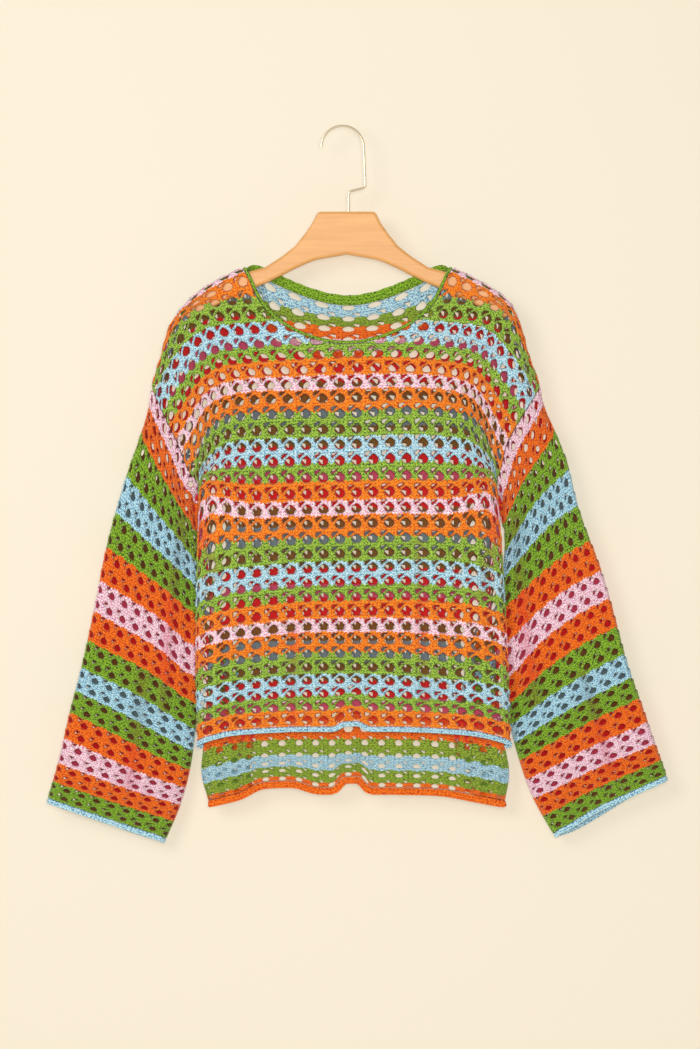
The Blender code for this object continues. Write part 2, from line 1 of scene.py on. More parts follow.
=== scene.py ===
"""Looks of an open-knit sweater on its wooden hanger.

The sweater's pieces are nets of yarn: one hole and one slanted strap in every cell, with rounded
yarn between them, laid over the surfaces that the cloth hangs in. Lengths are millimetres until a
mesh is made, and metres after that. The origin is the inside top of the hook, the front of the
sweater looks along -Y, and +X is the viewer's right.
"""

from __future__ import annotations

import logging
import math
from collections.abc import Callable, Sequence
from dataclasses import dataclass, field
from enum import Enum
from functools import cached_property

import bpy
import numpy as np
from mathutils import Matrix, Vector, geometry

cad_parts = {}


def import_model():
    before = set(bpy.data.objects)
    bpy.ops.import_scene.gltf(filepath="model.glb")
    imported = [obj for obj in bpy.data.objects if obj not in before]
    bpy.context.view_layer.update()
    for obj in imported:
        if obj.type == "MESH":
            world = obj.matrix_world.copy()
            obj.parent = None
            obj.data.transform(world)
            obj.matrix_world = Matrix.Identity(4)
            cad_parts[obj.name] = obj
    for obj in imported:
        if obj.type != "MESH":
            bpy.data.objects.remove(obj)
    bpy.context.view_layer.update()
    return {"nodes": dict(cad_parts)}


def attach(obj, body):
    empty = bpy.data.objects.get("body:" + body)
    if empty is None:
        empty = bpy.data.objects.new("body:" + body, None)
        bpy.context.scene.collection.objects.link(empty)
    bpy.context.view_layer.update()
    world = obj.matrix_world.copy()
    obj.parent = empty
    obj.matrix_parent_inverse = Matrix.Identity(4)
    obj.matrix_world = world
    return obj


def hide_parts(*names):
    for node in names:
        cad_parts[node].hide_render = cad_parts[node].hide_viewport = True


log = logging.getLogger("sweater")

MM = 0.001
# The knit: one column and one row of its cells, half a yarn's thickness, and the gap at a seam.
COLUMN_MM = 20.0
ROW_MM = 18.0
CELL_MM = np.array([COLUMN_MM, ROW_MM])
YARN_HALF = 1.1
SEAM_GAP = 0.3
# The panels in columns from their middle and rows from the shoulder, and the sleeves in columns
# round them and rows from the armhole.
SIDE_COLUMN = 13.0
NECK_COLUMN = 4.25
FRONT_HEM_ROW = 32.0
BACK_HEM_ROW = 35.75
SLEEVE_COLUMNS = 17
CUFF_ROW = 29.0
ARMHOLE_ROWS = (0.0, 0.4, 0.8, 1.2, 2.5, 4.0, 5.5, 7.0, 8.5, 9.5, 10.5, 11.5, 12.1, 12.5)
# The columns of the points in the panels' tables. The first mirrors the neck's.
GUIDES = (-3.5, 0.0, 3.5, 5.5, 7.5, 9.5, 11.5, SIDE_COLUMN)
# How far the body's middle hangs to the right of the hook.
AXIS_X = 7.0
# Less than any length or share that shows.
TINY = 1e-6

Point = tuple[float, float, float]
Block = tuple[np.ndarray, np.ndarray, np.ndarray, np.ndarray]


class Side(Enum):
    """The viewer's side that a sleeve or an armhole is on."""

    LEFT = -1
    RIGHT = 1


class Stripes(Enum):
    """Where the colours change: the cycle's length in rows, and each colour's first row in it."""

    BODY = (8.0, ((0.0, "pink"), (0.92, "orange"), (2.35, "green"), (4.05, "blue"), (5.6, "green"), (6.7, "orange")))
    BACK = (8.0, ((0.0, "pink"), (0.92, "orange"), (2.75, "green"), (4.05, "blue"), (5.45, "green"), (6.8, "orange")))
    SLEEVE = (
        12.0,
        (
            (0.0, "pink"), (1.0, "orange"), (3.0, "green"), (5.0, "blue"),
            (7.0, "green"), (9.0, "orange"), (11.0, "pink"),
        ),
    )


def linear(hex_colour: str) -> tuple[float, float, float, float]:
    """Turns an sRGB hex colour into linear light.

    Args:
        hex_colour: Six hex digits after a #.

    Returns:
        Red, green, blue and full alpha.
    """
    parts = [int(hex_colour[i : i + 2], 16) / 255.0 for i in (1, 3, 5)]
    light = [c / 12.92 if c <= 0.04045 else ((c + 0.055) / 1.055) ** 2.4 for c in parts]
    return (light[0], light[1], light[2], 1.0)


def ease(value: np.ndarray | float) -> np.ndarray:
    """Goes smoothly from 0 to 1 as the value does."""
    clipped = np.clip(value, 0.0, 1.0)
    return clipped * clipped * (3.0 - 2.0 * clipped)


def unit(vectors: np.ndarray) -> np.ndarray:
    """The same directions, one long."""
    return vectors / np.maximum(np.linalg.norm(vectors, axis=-1, keepdims=True), 1e-9)


def curve_weights(knots: Sequence[float], places: np.ndarray) -> np.ndarray:
    """How much each knot counts at each place on a smooth curve through all the knots.

    Args:
        knots: Where the knots lie, in rising order.
        places: Where the curve is wanted.

    Returns:
        One row of weights for each place.
    """
    at = np.asarray(knots, float)
    places = np.atleast_1d(np.asarray(places, float))
    count = len(at)
    slopes = np.zeros((count, count))
    for i in range(count):
        before, after = max(i - 1, 0), min(i + 1, count - 1)
        if 0 < i < count - 1:
            left, right = at[i] - at[before], at[after] - at[i]
            total = left + right
            slopes[i, before] -= right / (left * total)
            slopes[i, after] += left / (right * total)
            slopes[i, i] += right / (left * total) - left / (right * total)
        else:
            slopes[i, before] -= 1.0 / (at[after] - at[before])
            slopes[i, after] += 1.0 / (at[after] - at[before])
    start = np.clip(np.searchsorted(at, places, side="right") - 1, 0, count - 2)
    span = at[start + 1] - at[start]
    along = (places - at[start]) / span
    weights = np.zeros((len(places), count))
    rows = np.arange(len(places))
    weights[rows, start] += 2 * along**3 - 3 * along**2 + 1
    weights[rows, start + 1] += 3 * along**2 - 2 * along**3
    weights += ((along**3 - 2 * along**2 + along) * span)[:, None] * slopes[start]
    weights += ((along**3 - along**2) * span)[:, None] * slopes[start + 1]
    return weights


def mesh_piece(
    name: str, points: np.ndarray, faces: Sequence[Sequence[int]], material: bpy.types.Material
) -> bpy.types.Object:
    """Makes one smooth mesh object.

    Args:
        name: The piece's name.
        points: Corners in millimetres.
        faces: Corner numbers of each face.
        material: Its finish.

    Returns:
        The new object, in the scene.
    """
    mesh = bpy.data.meshes.new(name)
    mesh.from_pydata((np.asarray(points) * MM).tolist(), [], [tuple(int(i) for i in face) for face in faces])
    mesh.materials.append(material)
    mesh.shade_smooth()
    piece = bpy.data.objects.new(name, mesh)
    bpy.context.scene.collection.objects.link(piece)
    return piece


def set_uv(piece: bpy.types.Object, name: str, corner_uvs: np.ndarray) -> None:
    """Gives every face corner two numbers: its column and row in the knit, or how deep in shade it is."""
    layer = piece.data.uv_layers.new(name=name)
    layer.data.foreach_set("uv", np.asarray(corner_uvs, np.float32).ravel())


def swayed(points: np.ndarray, sways: Sequence[Sequence[float]], free: np.ndarray | float) -> np.ndarray:
    """Moves points of the cloth to the right and down by soft bumps.

    Args:
        points: Points in millimetres.
        sways: Middle, height, half width, half height, shift to the right and drop of each bump.
        free: 1 where the cloth may move and 0 where it may not.

    Returns:
        The moved points.
    """
    moved = points.copy()
    for middle, height, half_width, half_height, shift, drop in sways:
        across, up = (points[:, 0] - middle) / half_width, (points[:, 2] - height) / half_height
        near = np.exp(-(across**2) - up**2) * free
        moved[:, 0] += shift * near
        moved[:, 2] -= drop * near
    return moved


def crease_shares(points: np.ndarray, creases: Sequence[Sequence[float]]) -> np.ndarray:
    """How deep each point lies in each crease, from 0 outside to 1 along its bottom.

    Args:
        points: Points in millimetres.
        creases: Both ends, the half width and the depth of each crease.

    Returns:
        One row for each crease.
    """
    shares = []
    for x0, z0, x1, z1, half_width, _ in creases:
        line = np.array([x1 - x0, z1 - z0], float)
        from_start = points[:, [0, 2]] - (x0, z0)
        along = np.clip(from_start @ line / (line @ line), 0.0, 1.0)
        aside = np.linalg.norm(from_start - along[:, None] * line, axis=1)
        shares.append(np.exp(-((aside / half_width) ** 2)))
    return np.array(shares)


def creased(points: np.ndarray, creases: Sequence[Sequence[float]], inward: np.ndarray | float) -> np.ndarray:
    """Presses soft troughs into the cloth.

    Args:
        points: Points in millimetres.
        creases: As for crease_shares.
        inward: The way into the garment at each point, 1 for +Y, -1 for -Y and 0 for no trough.

    Returns:
        The moved points.
    """
    moved = points.copy()
    depths = np.array([crease[-1] for crease in creases])
    moved[:, 1] += inward * (depths @ crease_shares(points, creases))
    return moved


# ---------------------------------------------------------------------------------------------
# The cloth's surfaces
# ---------------------------------------------------------------------------------------------

# A section of a panel is one of its rows. Each guide is (out from the middle, depth to the back,
# drop below the hook), and "right" widens the half at the viewer's right.
FRONT_SECTIONS = (
    # row, right, middle (depth, drop), neck, chest, shoulder, edge, behind, seam
    (0.0, -8, (0, 162), (111, 0, 166), (149, 0, 179.5), (186, 1, 203),
     (208, 6, 231), (220, 12, 272), (226, 13, 300)),
    (0.6, -8, (-7, 164), (110, -7, 168), (148, -7, 181.5), (185, -6.5, 205),
     (210, 0, 233), (223, 8, 275), (230, 11, 302)),
    (1.2, -9, (-8.3, 172), (108, -8.5, 175), (146, -8.5, 188), (184, -8.5, 210),
     (212, -5, 237), (225, 4, 279), (233, 8, 305)),
    (2.5, -10, (-9, 203), (101, -9, 206), (139, -9, 209), (178, -9, 217),
     (207, -9, 243), (226, -5, 284), (235, 3, 312)),
    (4.5, -12, (-9, 239), (92, -9, 242), (131, -9, 245), (165, -9.5, 250),
     (194, -10, 269), (218, -10, 301), (230, -4, 326)),
    (6.5, -14, (-9.5, 273), (81, -9.5, 276), (121, -9.5, 279), (155, -10, 284),
     (181, -10.5, 302), (202, -11, 333), (217, -7, 354)),
    (8.5, -14, (-10, 308), (74, -10, 309), (114, -10, 310), (149, -10.5, 316),
     (172, -10.5, 330), (189, -10.5, 359), (203, -7, 384)),
    (10.5, -8, (-10.5, 345), (71, -10.5, 344), (111, -10.5, 345), (145, -11, 349),
     (168, -8, 365), (180, -6, 393), (190, -3, 427)),
    (12.5, -1, (-11, 382), (70, -11, 382), (109, -11, 383), (144, -11, 387),
     (168, -7, 405), (177.6, 0, 432), (175, 8.2, 460)),
    (13.2, -1, (-11.2, 395), (70, -11.2, 395), (109, -11.2, 396), (144, -11, 400),
     (170.5, -5.5, 418), (177.5, 1.5, 445), (172, 10, 472)),
    (14.2, -1, (-11.4, 415), (70, -11.4, 415), (109, -11.4, 416), (145, -11, 420),
     (173, -3.5, 436), (178, 3.5, 463), (171.5, 12.3, 490)),
    (16.0, 1, (-11.5, 449), (69, -11.5, 449), (109, -11.5, 450), (145, -11, 454),
     (176, -1, 468), (177.5, 6, 494), (170, 14.5, 520)),
    (24.5, 8, (-11.5, 598), (69, -11.5, 598), (110, -11.5, 600), (147, -11, 603),
     (182, 0, 617), (162, 14.8, 642), (132, 14.4, 655)),
    (31.5, 14, (-11.5, 719), (69, -11.5, 719), (110, -11.5, 721), (148, -11, 725),
     (181, 0, 737), (151, 15.2, 745), (116, 14.6, 757)),
)
BACK_SECTIONS = (
    (0.0, -8, (0, 162), (111, 0, 166), (149, 0, 179.5), (186, 1, 203),
     (208, 6, 231), (220, 12, 272), (226, 13, 300)),
    (0.6, -8, (7, 168), (110, 7, 168), (148, 7, 181.5), (185, 6.5, 205),
     (207, 10, 234), (220, 15, 276), (226, 16, 304)),
    (1.2, -9, (8.3, 180), (108, 8.5, 175.5), (146, 8.5, 188), (184, 8.5, 210),
     (206, 12, 238), (219, 17, 280), (225, 18, 309)),
    (2.5, -10, (9, 209), (101, 9, 207), (139, 9, 211), (177, 9, 219),
     (203, 13, 246), (218, 18, 288), (226, 18, 320)),
    (4.5, -12, (9, 250), (94, 9, 251), (133, 9, 253), (168, 9.5, 259),
     (194, 13, 280), (212, 17, 314), (222, 17, 341)),
    (6.5, -14, (8.5, 291), (86, 8.5, 291), (124, 8.5, 293), (157, 9, 299),
     (182, 12.5, 318), (201, 16, 346), (213, 16, 366)),
    (8.5, -14, (7.5, 331), (77, 7.5, 331), (116, 7.5, 332), (150, 8.5, 337),
     (171, 12, 351), (188, 14, 376), (203, 14, 396)),
    (10.5, -8, (6, 369), (72, 6, 369), (111, 6, 369), (145, 7, 373),
     (166, 10, 385), (180, 11, 408), (190, 10, 434)),
    (12.5, -1, (4.5, 408), (70, 4.5, 407), (109, 4.5, 408), (144, 5, 411),
     (164, 6, 422), (168.6, 5.5, 440), (165.8, 5, 460)),
    (13.2, -1, (4, 421), (70, 4, 420), (109, 4, 421), (144, 4.5, 425),
     (165, 5.5, 435), (171, 5.5, 451), (168.6, 7, 472)),
    (14.2, -1, (3.5, 439), (70, 3.5, 439), (109, 3.5, 440), (144, 3.8, 444),
     (165.5, 5, 454), (171.5, 6, 472), (168.5, 9.3, 490)),
    (16.0, 1, (2.5, 472), (69, 2.5, 472), (109, 2.5, 473), (143, 2.7, 476),
     (165, 5, 486), (169, 7.5, 503), (167.5, 11, 520)),
    (24.5, 8, (2.5, 617), (69, 2.5, 617), (110, 2.5, 618), (143, 2.5, 621),
     (167, 6.2, 631), (150, 10.3, 646), (132, 11, 655)),
    (31.5, 14, (2.5, 733), (69, 2.5, 733), (110, 2.5, 735), (143, 2.5, 739),
     (174, 6.4, 748), (141, 10.5, 753), (116, 11, 757)),
    (32.6, 16, (2.5, 752), (69, 2.5, 752), (110, 2.5, 754), (144, 2.5, 759),
     (176, 6.4, 768), (144, 10.5, 765), (118, 11, 765)),
    (35.6, 20, (2.5, 793), (69, 2.5, 793), (108, 2.5, 795), (141, 2.5, 802),
     (168, 6.5, 808), (142, 10.5, 797), (116, 11, 787)),
)
SLEEVE_SECTIONS = (
    # row, half depth, right, outer edge (out, depth, drop), inner edge (out, depth, drop)
    (0.0, 7.5, 0, (232, 4, 305), (172, 7, 460)),
    (1.0, 7.5, 0, (236, 5, 327), (181, 10, 472)),
    (3.0, 7.5, 2, (249, 5, 367), (184, 15, 497)),
    (5.0, 7.0, 4, (266, 5, 421), (183, 18.5, 522)),
    (7.0, 6.5, 6, (279, 5, 467), (181, 21, 549)),
    (9.0, 6.0, 7, (290, 5, 510), (179, 22, 581)),
    (13.0, 6.0, 8, (305, 5, 582), (178, 23, 656)),
    (17.0, 6.0, 8, (320, 5, 649), (185, 22, 721)),
    (21.0, 6.5, 5, (334, 5, 703), (192, 18, 768)),
    (25.0, 7.0, 2, (348, 5, 763), (203, 14, 812)),
    (29.0, 8.0, 0, (360, 4, 805), (220, 12, 853)),
)
# Where the cloth hangs a little off its tables: middle, height, half width, half height, how far
# to the right and how far down.
SHOULDER_SWAYS = (
    (195, -208, 30, 30, 5, 0), (240, -330, 28, 60, 5, 0),
    (-168, -455, 36, 42, 0, -22), (182, -455, 36, 42, 0, -22),
)
BODY_SWAYS = (
    (-148, -590, 85, 190, 0, 6.5), (82, -360, 70, 130, 0, -4),
    (137, -690, 90, 90, 0, 5.5), (90, -540, 60, 50, 0, -2),
)
SLEEVE_SWAYS = {
    Side.LEFT: (
        (-180, -460, 24, 40, 0, -8), (-185, -618, 22, 75, 0, 11), (-231, -765, 70, 45, 0, 6),
        (-273, -500, 35, 70, 0, -5), (-245, -660, 35, 45, 0, -3),
    ),
    Side.RIGHT: (
        (290, -465, 45, 70, -9, 0), (228, -470, 55, 65, 0, -19), (199, -645, 27, 70, 0, 18),
        (285, -590, 50, 75, 0, -8), (235, -790, 50, 60, 0, 7), (258, -850, 40, 45, 5, 6),
        (385, -787, 45, 70, 4, -6), (367, -725, 45, 60, 3, 0),
    ),
}
CUFF_SAGS = {Side.LEFT: ((-250, -840, 45, 60, 0, 3),), Side.RIGHT: ((300, -835, 45, 60, 0, 9),)}
# Soft creases: both ends (across, height), half width and depth. Their troughs also get painted shade in the yarn's
# colour.
FRONT_CREASES = (
    (-58, -600, -60, -735, 7, 2.6), (92, -500, 100, -735, 7, 2.6),
    (-178, -455, -150, -540, 9, 2.2), (186, -450, 168, -560, 9, 2.4),
)
BACK_CREASES = (
    (12, -735, 12, -800, 8, 2.4), (74, -700, 72, -800, 8, 2.6),
    (-120, -420, -60, -560, 10, 2.2), (120, -420, 70, -560, 10, 2.2),
)
SLEEVE_CREASES = {
    Side.LEFT: ((-192, -470, -206, -560, 8, 3.0), (-206, -560, -217, -700, 8, 3.4), (-240, -660, -256, -790, 9, 2.0)),
    Side.RIGHT: ((208, -470, 214, -560, 8, 3.0), (214, -560, 232, -690, 8, 3.2), (290, -660, 322, -770, 9, 2.0)),
}
# Folds that lift a hem: middle, half width, how many rows up they reach, depth to the back and lift.
FRONT_FOLDS = ((4.0, 17.0, 9.0, -2.2, 7.0),)
BACK_FOLDS = ((4.0, 18.0, 9.0, -2.2, 14.0), (-85.0, 37.0, 8.0, 1.0, 8.5))
# The row of the tables at each row of the net.
FRONT_ROW_PLACES = ((0.0, 0.0), (24.5, 24.5), (FRONT_HEM_ROW, 31.5))
BACK_ROW_PLACES = ((0.0, 0.0), (24.5, 24.5), (31.5, 31.88), (BACK_HEM_ROW, 35.6))
# How many rows further on the stripes are at two rows of the back.
BACK_STRIPE_SHIFTS = ((2.3, 3.0), (3.3, 3.5))


@dataclass
class Surface:
    """A sheet of knit as a surface over columns and rows."""

    def points(self, columns: np.ndarray, rows: np.ndarray) -> np.ndarray:
        """Points of the surface at these columns and rows."""
        raise NotImplementedError

    def normals(self, columns: np.ndarray, rows: np.ndarray) -> np.ndarray:
        """Unit normals of the surface, which point out of the garment.

        Args:
            columns: Columns of the points.
            rows: Rows of the points.

        Returns:
            One normal for each point.
        """
        step = 0.03
        across = self.points(columns + step, rows) - self.points(columns - step, rows)
        down = self.points(columns, rows + step) - self.points(columns, rows - step)
        return unit(np.cross(down, across)) * self.outward

    def hollow(self, points: np.ndarray) -> np.ndarray:
        """How deep points lie in the nearest crease, from 0 to 1."""
        return (crease_shares(points, self.creases) ** 1.5).max(axis=0)

    @property
    def outward(self) -> float:
        """1 where the right-hand rule already points out of the garment, and -1 where it points in."""
        return 1.0


@dataclass
class Panel(Surface):
    """The front or the back of the body, from the shoulders to the hem.

    The neckline dips by neck_rows, rounder with a low neck_power, and the middle of the back's top
    lies up to sag lower than its table over sag_rows. The right half has its full widening from
    wide_column on. Folds end at fold_column, and lift the hem over lift_share of their reach. Sways
    fade out over held_columns at the sides and held_rows at the hem, and creases over crease_fade
    columns before wide_column.
    """

    sections: tuple
    row_places: tuple[tuple[float, float], ...]
    hem_row: float
    neck_rows: float
    neck_power: float
    creases: tuple
    folds: tuple
    is_back: bool = False
    sways: tuple = ()
    sag: float = 0.0
    sag_rows: float = 5.5
    wide_column: float = 9.5
    fold_column: float = 9.0
    held_columns: float = 3.5
    held_rows: float = 4.0
    crease_fade: float = 2.0
    lift_share: float = 0.6

    @cached_property
    def table(self) -> tuple[np.ndarray, np.ndarray, np.ndarray]:
        """The sections as arrays.

        Returns:
            Their rows, the widening of the right half, and a point for each guide column.
        """
        rows = np.array([section[0] for section in self.sections])
        widening = np.array([section[1] for section in self.sections], float)
        points = []
        for _, _, middle, neck, *others in self.sections:
            points.append([(-neck[0], neck[1], neck[2]), (0.0, *middle), neck, *others])
        return rows, widening, np.array(points, float)

    @property
    def outward(self) -> float:
        """The front looks towards -Y and the back towards +Y."""
        return -1.0 if self.is_back else 1.0

    def points(self, columns: np.ndarray, rows: np.ndarray) -> np.ndarray:
        """Points of the panel at these columns and rows.

        Args:
            columns: Columns from the middle, positive to the viewer's right.
            rows: Rows down from the shoulder, as many as the columns.

        Returns:
            One point for each pair, in millimetres.
        """
        columns = np.clip(np.asarray(columns, float), -SIDE_COLUMN, SIDE_COLUMN)
        rows = np.clip(np.asarray(rows, float), 0.0, self.hem_row)
        above_hem = self.hem_row - rows
        rows = np.interp(rows, *zip(*self.row_places, strict=True))
        out = np.abs(columns)
        table_rows, widening, guides = self.table
        by_row = curve_weights(table_rows, rows)
        by_column = curve_weights(GUIDES, out)
        points = np.einsum("pr,pc,rcx->px", by_row, by_column, guides, optimize=True)
        wider = (by_row @ widening) * np.minimum(1.0, (out / self.wide_column) ** 2)
        points[:, 0] = np.where(columns > 0, points[:, 0] + wider, -points[:, 0])
        if self.is_back:
            across = np.maximum(0.0, 1.0 - (out / NECK_COLUMN) ** 2) ** 1.5
            points[:, 2] += self.sag * across * np.maximum(0.0, 1.0 - rows / self.sag_rows) ** 1.3
        points[:, 0] += AXIS_X
        points[:, 2] *= -1.0
        points = swayed(points, SHOULDER_SWAYS, 1.0)
        free = ease((SIDE_COLUMN - out) / self.held_columns) * ease(above_hem / self.held_rows)
        points = swayed(points, self.sways, free)
        inward = -1.0 if self.is_back else 1.0
        points = creased(points, self.creases, inward * ease((self.wide_column - out) / self.crease_fade))
        return self.folded(points, above_hem, out < self.fold_column)

    def folded(self, points: np.ndarray, above_hem: np.ndarray, free: np.ndarray) -> np.ndarray:
        """Lifts the hem where the panel's folds are.

        Args:
            points: Points in millimetres.
            above_hem: How many rows above the hem they are.
            free: Which of them may move.

        Returns:
            The moved points.
        """
        for middle, half_width, reach, depth, lift in self.folds:
            bump = np.exp(-(((points[:, 0] - AXIS_X - middle) / half_width) ** 4))
            up = above_hem / reach
            strength = bump * ease(1.0 - up) * free
            points[:, 1] += depth * strength
            points[:, 2] += lift * strength * ease(1.0 - up / self.lift_share)
        return points

    def top(self, columns: np.ndarray) -> np.ndarray:
        """The row of the neckline at these columns, and 0 outside the neck."""
        share = np.clip(1.0 - (np.asarray(columns) / NECK_COLUMN) ** 2, 0.0, 1.0)
        return self.neck_rows * np.sqrt(share) ** self.neck_power


@dataclass
class Sleeve(Surface):
    """One sleeve, a flattened tube from its armhole to its cuff. Its columns go round it.

    It takes its own shape over blend_rows. The right one then swings out and hangs shorter. Its
    underarm stands clear of the panels, outward and to the back, over reach of the way round and
    underarm_rows down. Sways begin over sway_rows, and the cuff sags over sag_rows, on the side
    that lies more than side_depth behind the outer edge.
    """

    side: Side
    front: Panel
    back: Panel
    blend_rows: float = 5.0
    swing: float = math.radians(2.4)
    length: float = 0.97
    clear: tuple[float, float] = (3.6, 7.0)
    reach: float = 0.06
    underarm_rows: float = 3.0
    sway_rows: float = 4.0
    sag_rows: float = 7.0
    side_depth: float = 4.0

    @property
    def outward(self) -> float:
        """Columns run the other way round on the two sleeves."""
        return 1.0 if self.side is Side.LEFT else -1.0

    @property
    def creases(self) -> tuple:
        """The creases of this side's sleeve."""
        return SLEEVE_CREASES[self.side]

    @cached_property
    def ring(self) -> tuple[np.ndarray, np.ndarray]:
        """The armhole that the sleeve is set in.

        Returns:
            Points down the front seam and up the back seam, and how far round each is.
        """
        rows = np.array(ARMHOLE_ROWS)
        columns = np.full(len(rows), self.side.value * SIDE_COLUMN)
        ring = np.concatenate([self.front.points(columns, rows), self.back.points(columns, rows)[:0:-1]])
        steps = np.linalg.norm(np.roll(ring, -1, axis=0) - ring, axis=1)
        return ring, np.concatenate([[0.0], np.cumsum(steps)[:-1]]) / steps.sum()

    @staticmethod
    def tube(shares: np.ndarray, width: np.ndarray, half: np.ndarray) -> tuple[np.ndarray, np.ndarray]:
        """Points round a flattened tube.

        Args:
            shares: How far round, from the outer edge over the front.
            width: Width of the flattened tube.
            half: Half of its depth.

        Returns:
            The distance from the outer edge, and the depth.
        """
        straight = width - 2.0 * half
        arc = math.pi * half
        total = 2.0 * straight + 2.0 * arc
        place = (shares * total + arc / 2.0) % total
        outer_turn, inner_turn = place / half, (place - arc - straight) / half
        near = place < arc
        front = (place >= arc) & (place < arc + straight)
        far = (place >= arc + straight) & (place < 2.0 * arc + straight)
        across = np.select(
            [near, front, far],
            [half * (1.0 - np.sin(outer_turn)), half + place - arc, width - half * (1.0 - np.sin(inner_turn))],
            half + (total - place),
        )
        depth = np.select([near, front, far], [half * np.cos(outer_turn), -half, -half * np.cos(inner_turn)], half)
        return across, depth

    def hanging(self, shares: np.ndarray, rows: np.ndarray) -> np.ndarray:
        """Points of the plain flattened tube, without its joining to the armhole.

        Args:
            shares: How far round, from the outer edge over the front.
            rows: Rows down from the armhole, as many as the shares.

        Returns:
            One point for each pair, in millimetres.
        """
        rings = [[*section[:3], *section[3], *section[4]] for section in SLEEVE_SECTIONS]
        table = np.array(rings, float)
        values = curve_weights(table[:, 0], rows) @ table[:, 1:]
        outer, inner = values[:, 2:5].copy(), values[:, 5:8].copy()
        if self.side is Side.RIGHT:
            inner[:, 0] -= values[:, 1]
            joined = ease(rows / self.blend_rows)
            turn, scale = self.swing * joined, 1.0 + (self.length - 1.0) * joined
            pivot = table[0, [3, 5]]
            for edge in (outer, inner):
                away = (edge[:, [0, 2]] - pivot) * scale[:, None]
                edge[:, 0] = pivot[0] + away[:, 0] * np.cos(turn) + away[:, 1] * np.sin(turn)
                edge[:, 2] = pivot[1] + away[:, 1] * np.cos(turn) - away[:, 0] * np.sin(turn)
        width = np.hypot(*(inner - outer)[:, [0, 2]].T)
        across, depth = self.tube(shares, width, values[:, 0])
        points = outer + (inner - outer) * (across / width)[:, None]
        points[:, 1] += depth
        points[:, 0] = AXIS_X + self.side.value * points[:, 0]
        points[:, 2] *= -1.0
        return points

    def points(self, columns: np.ndarray, rows: np.ndarray) -> np.ndarray:
        """Points of the sleeve at these columns and rows.

        Args:
            columns: Columns round the sleeve from its outer edge over its front.
            rows: Rows down from the armhole, as many as the columns.

        Returns:
            One point for each pair, in millimetres.
        """
        shares = (np.asarray(columns, float) / SLEEVE_COLUMNS) % 1.0
        rows = np.clip(np.asarray(rows, float), 0.0, CUFF_ROW)
        ring, ring_shares = self.ring
        knots = np.append(ring_shares, 1.0)
        seam = np.stack([np.interp(shares, knots, np.append(ring[:, k], ring[0, k])) for k in range(3)], axis=1)
        hanging = self.hanging(shares, rows)
        start = self.hanging(shares, np.zeros_like(rows))
        blend = ease(rows / self.blend_rows)[:, None]
        points = seam * (1.0 - blend) + hanging * blend + (hanging - start) * (1.0 - blend)
        lowest = ring_shares[np.argmin(ring[:, 2])]
        near = np.exp(-(((shares - lowest) / self.reach) ** 2)) * (1.0 - ease(rows / self.underarm_rows))
        points[:, 0] += self.side.value * self.clear[0] * near
        points[:, 1] += self.clear[1] * near
        points = swayed(points, SLEEVE_SWAYS[self.side], ease(rows / self.sway_rows))
        edge_depth = self.hanging(np.zeros_like(shares), rows)[:, 1]
        to_front = np.clip((edge_depth - points[:, 1]) / self.side_depth, -1.0, 1.0)
        low = ease((rows - (CUFF_ROW - self.sag_rows)) / self.sag_rows)
        points = swayed(points, CUFF_SAGS[self.side], np.maximum(0.0, -to_front) * low)
        return creased(points, self.creases, to_front * ease(rows / self.underarm_rows))


# ---------------------------------------------------------------------------------------------
# The net
# ---------------------------------------------------------------------------------------------


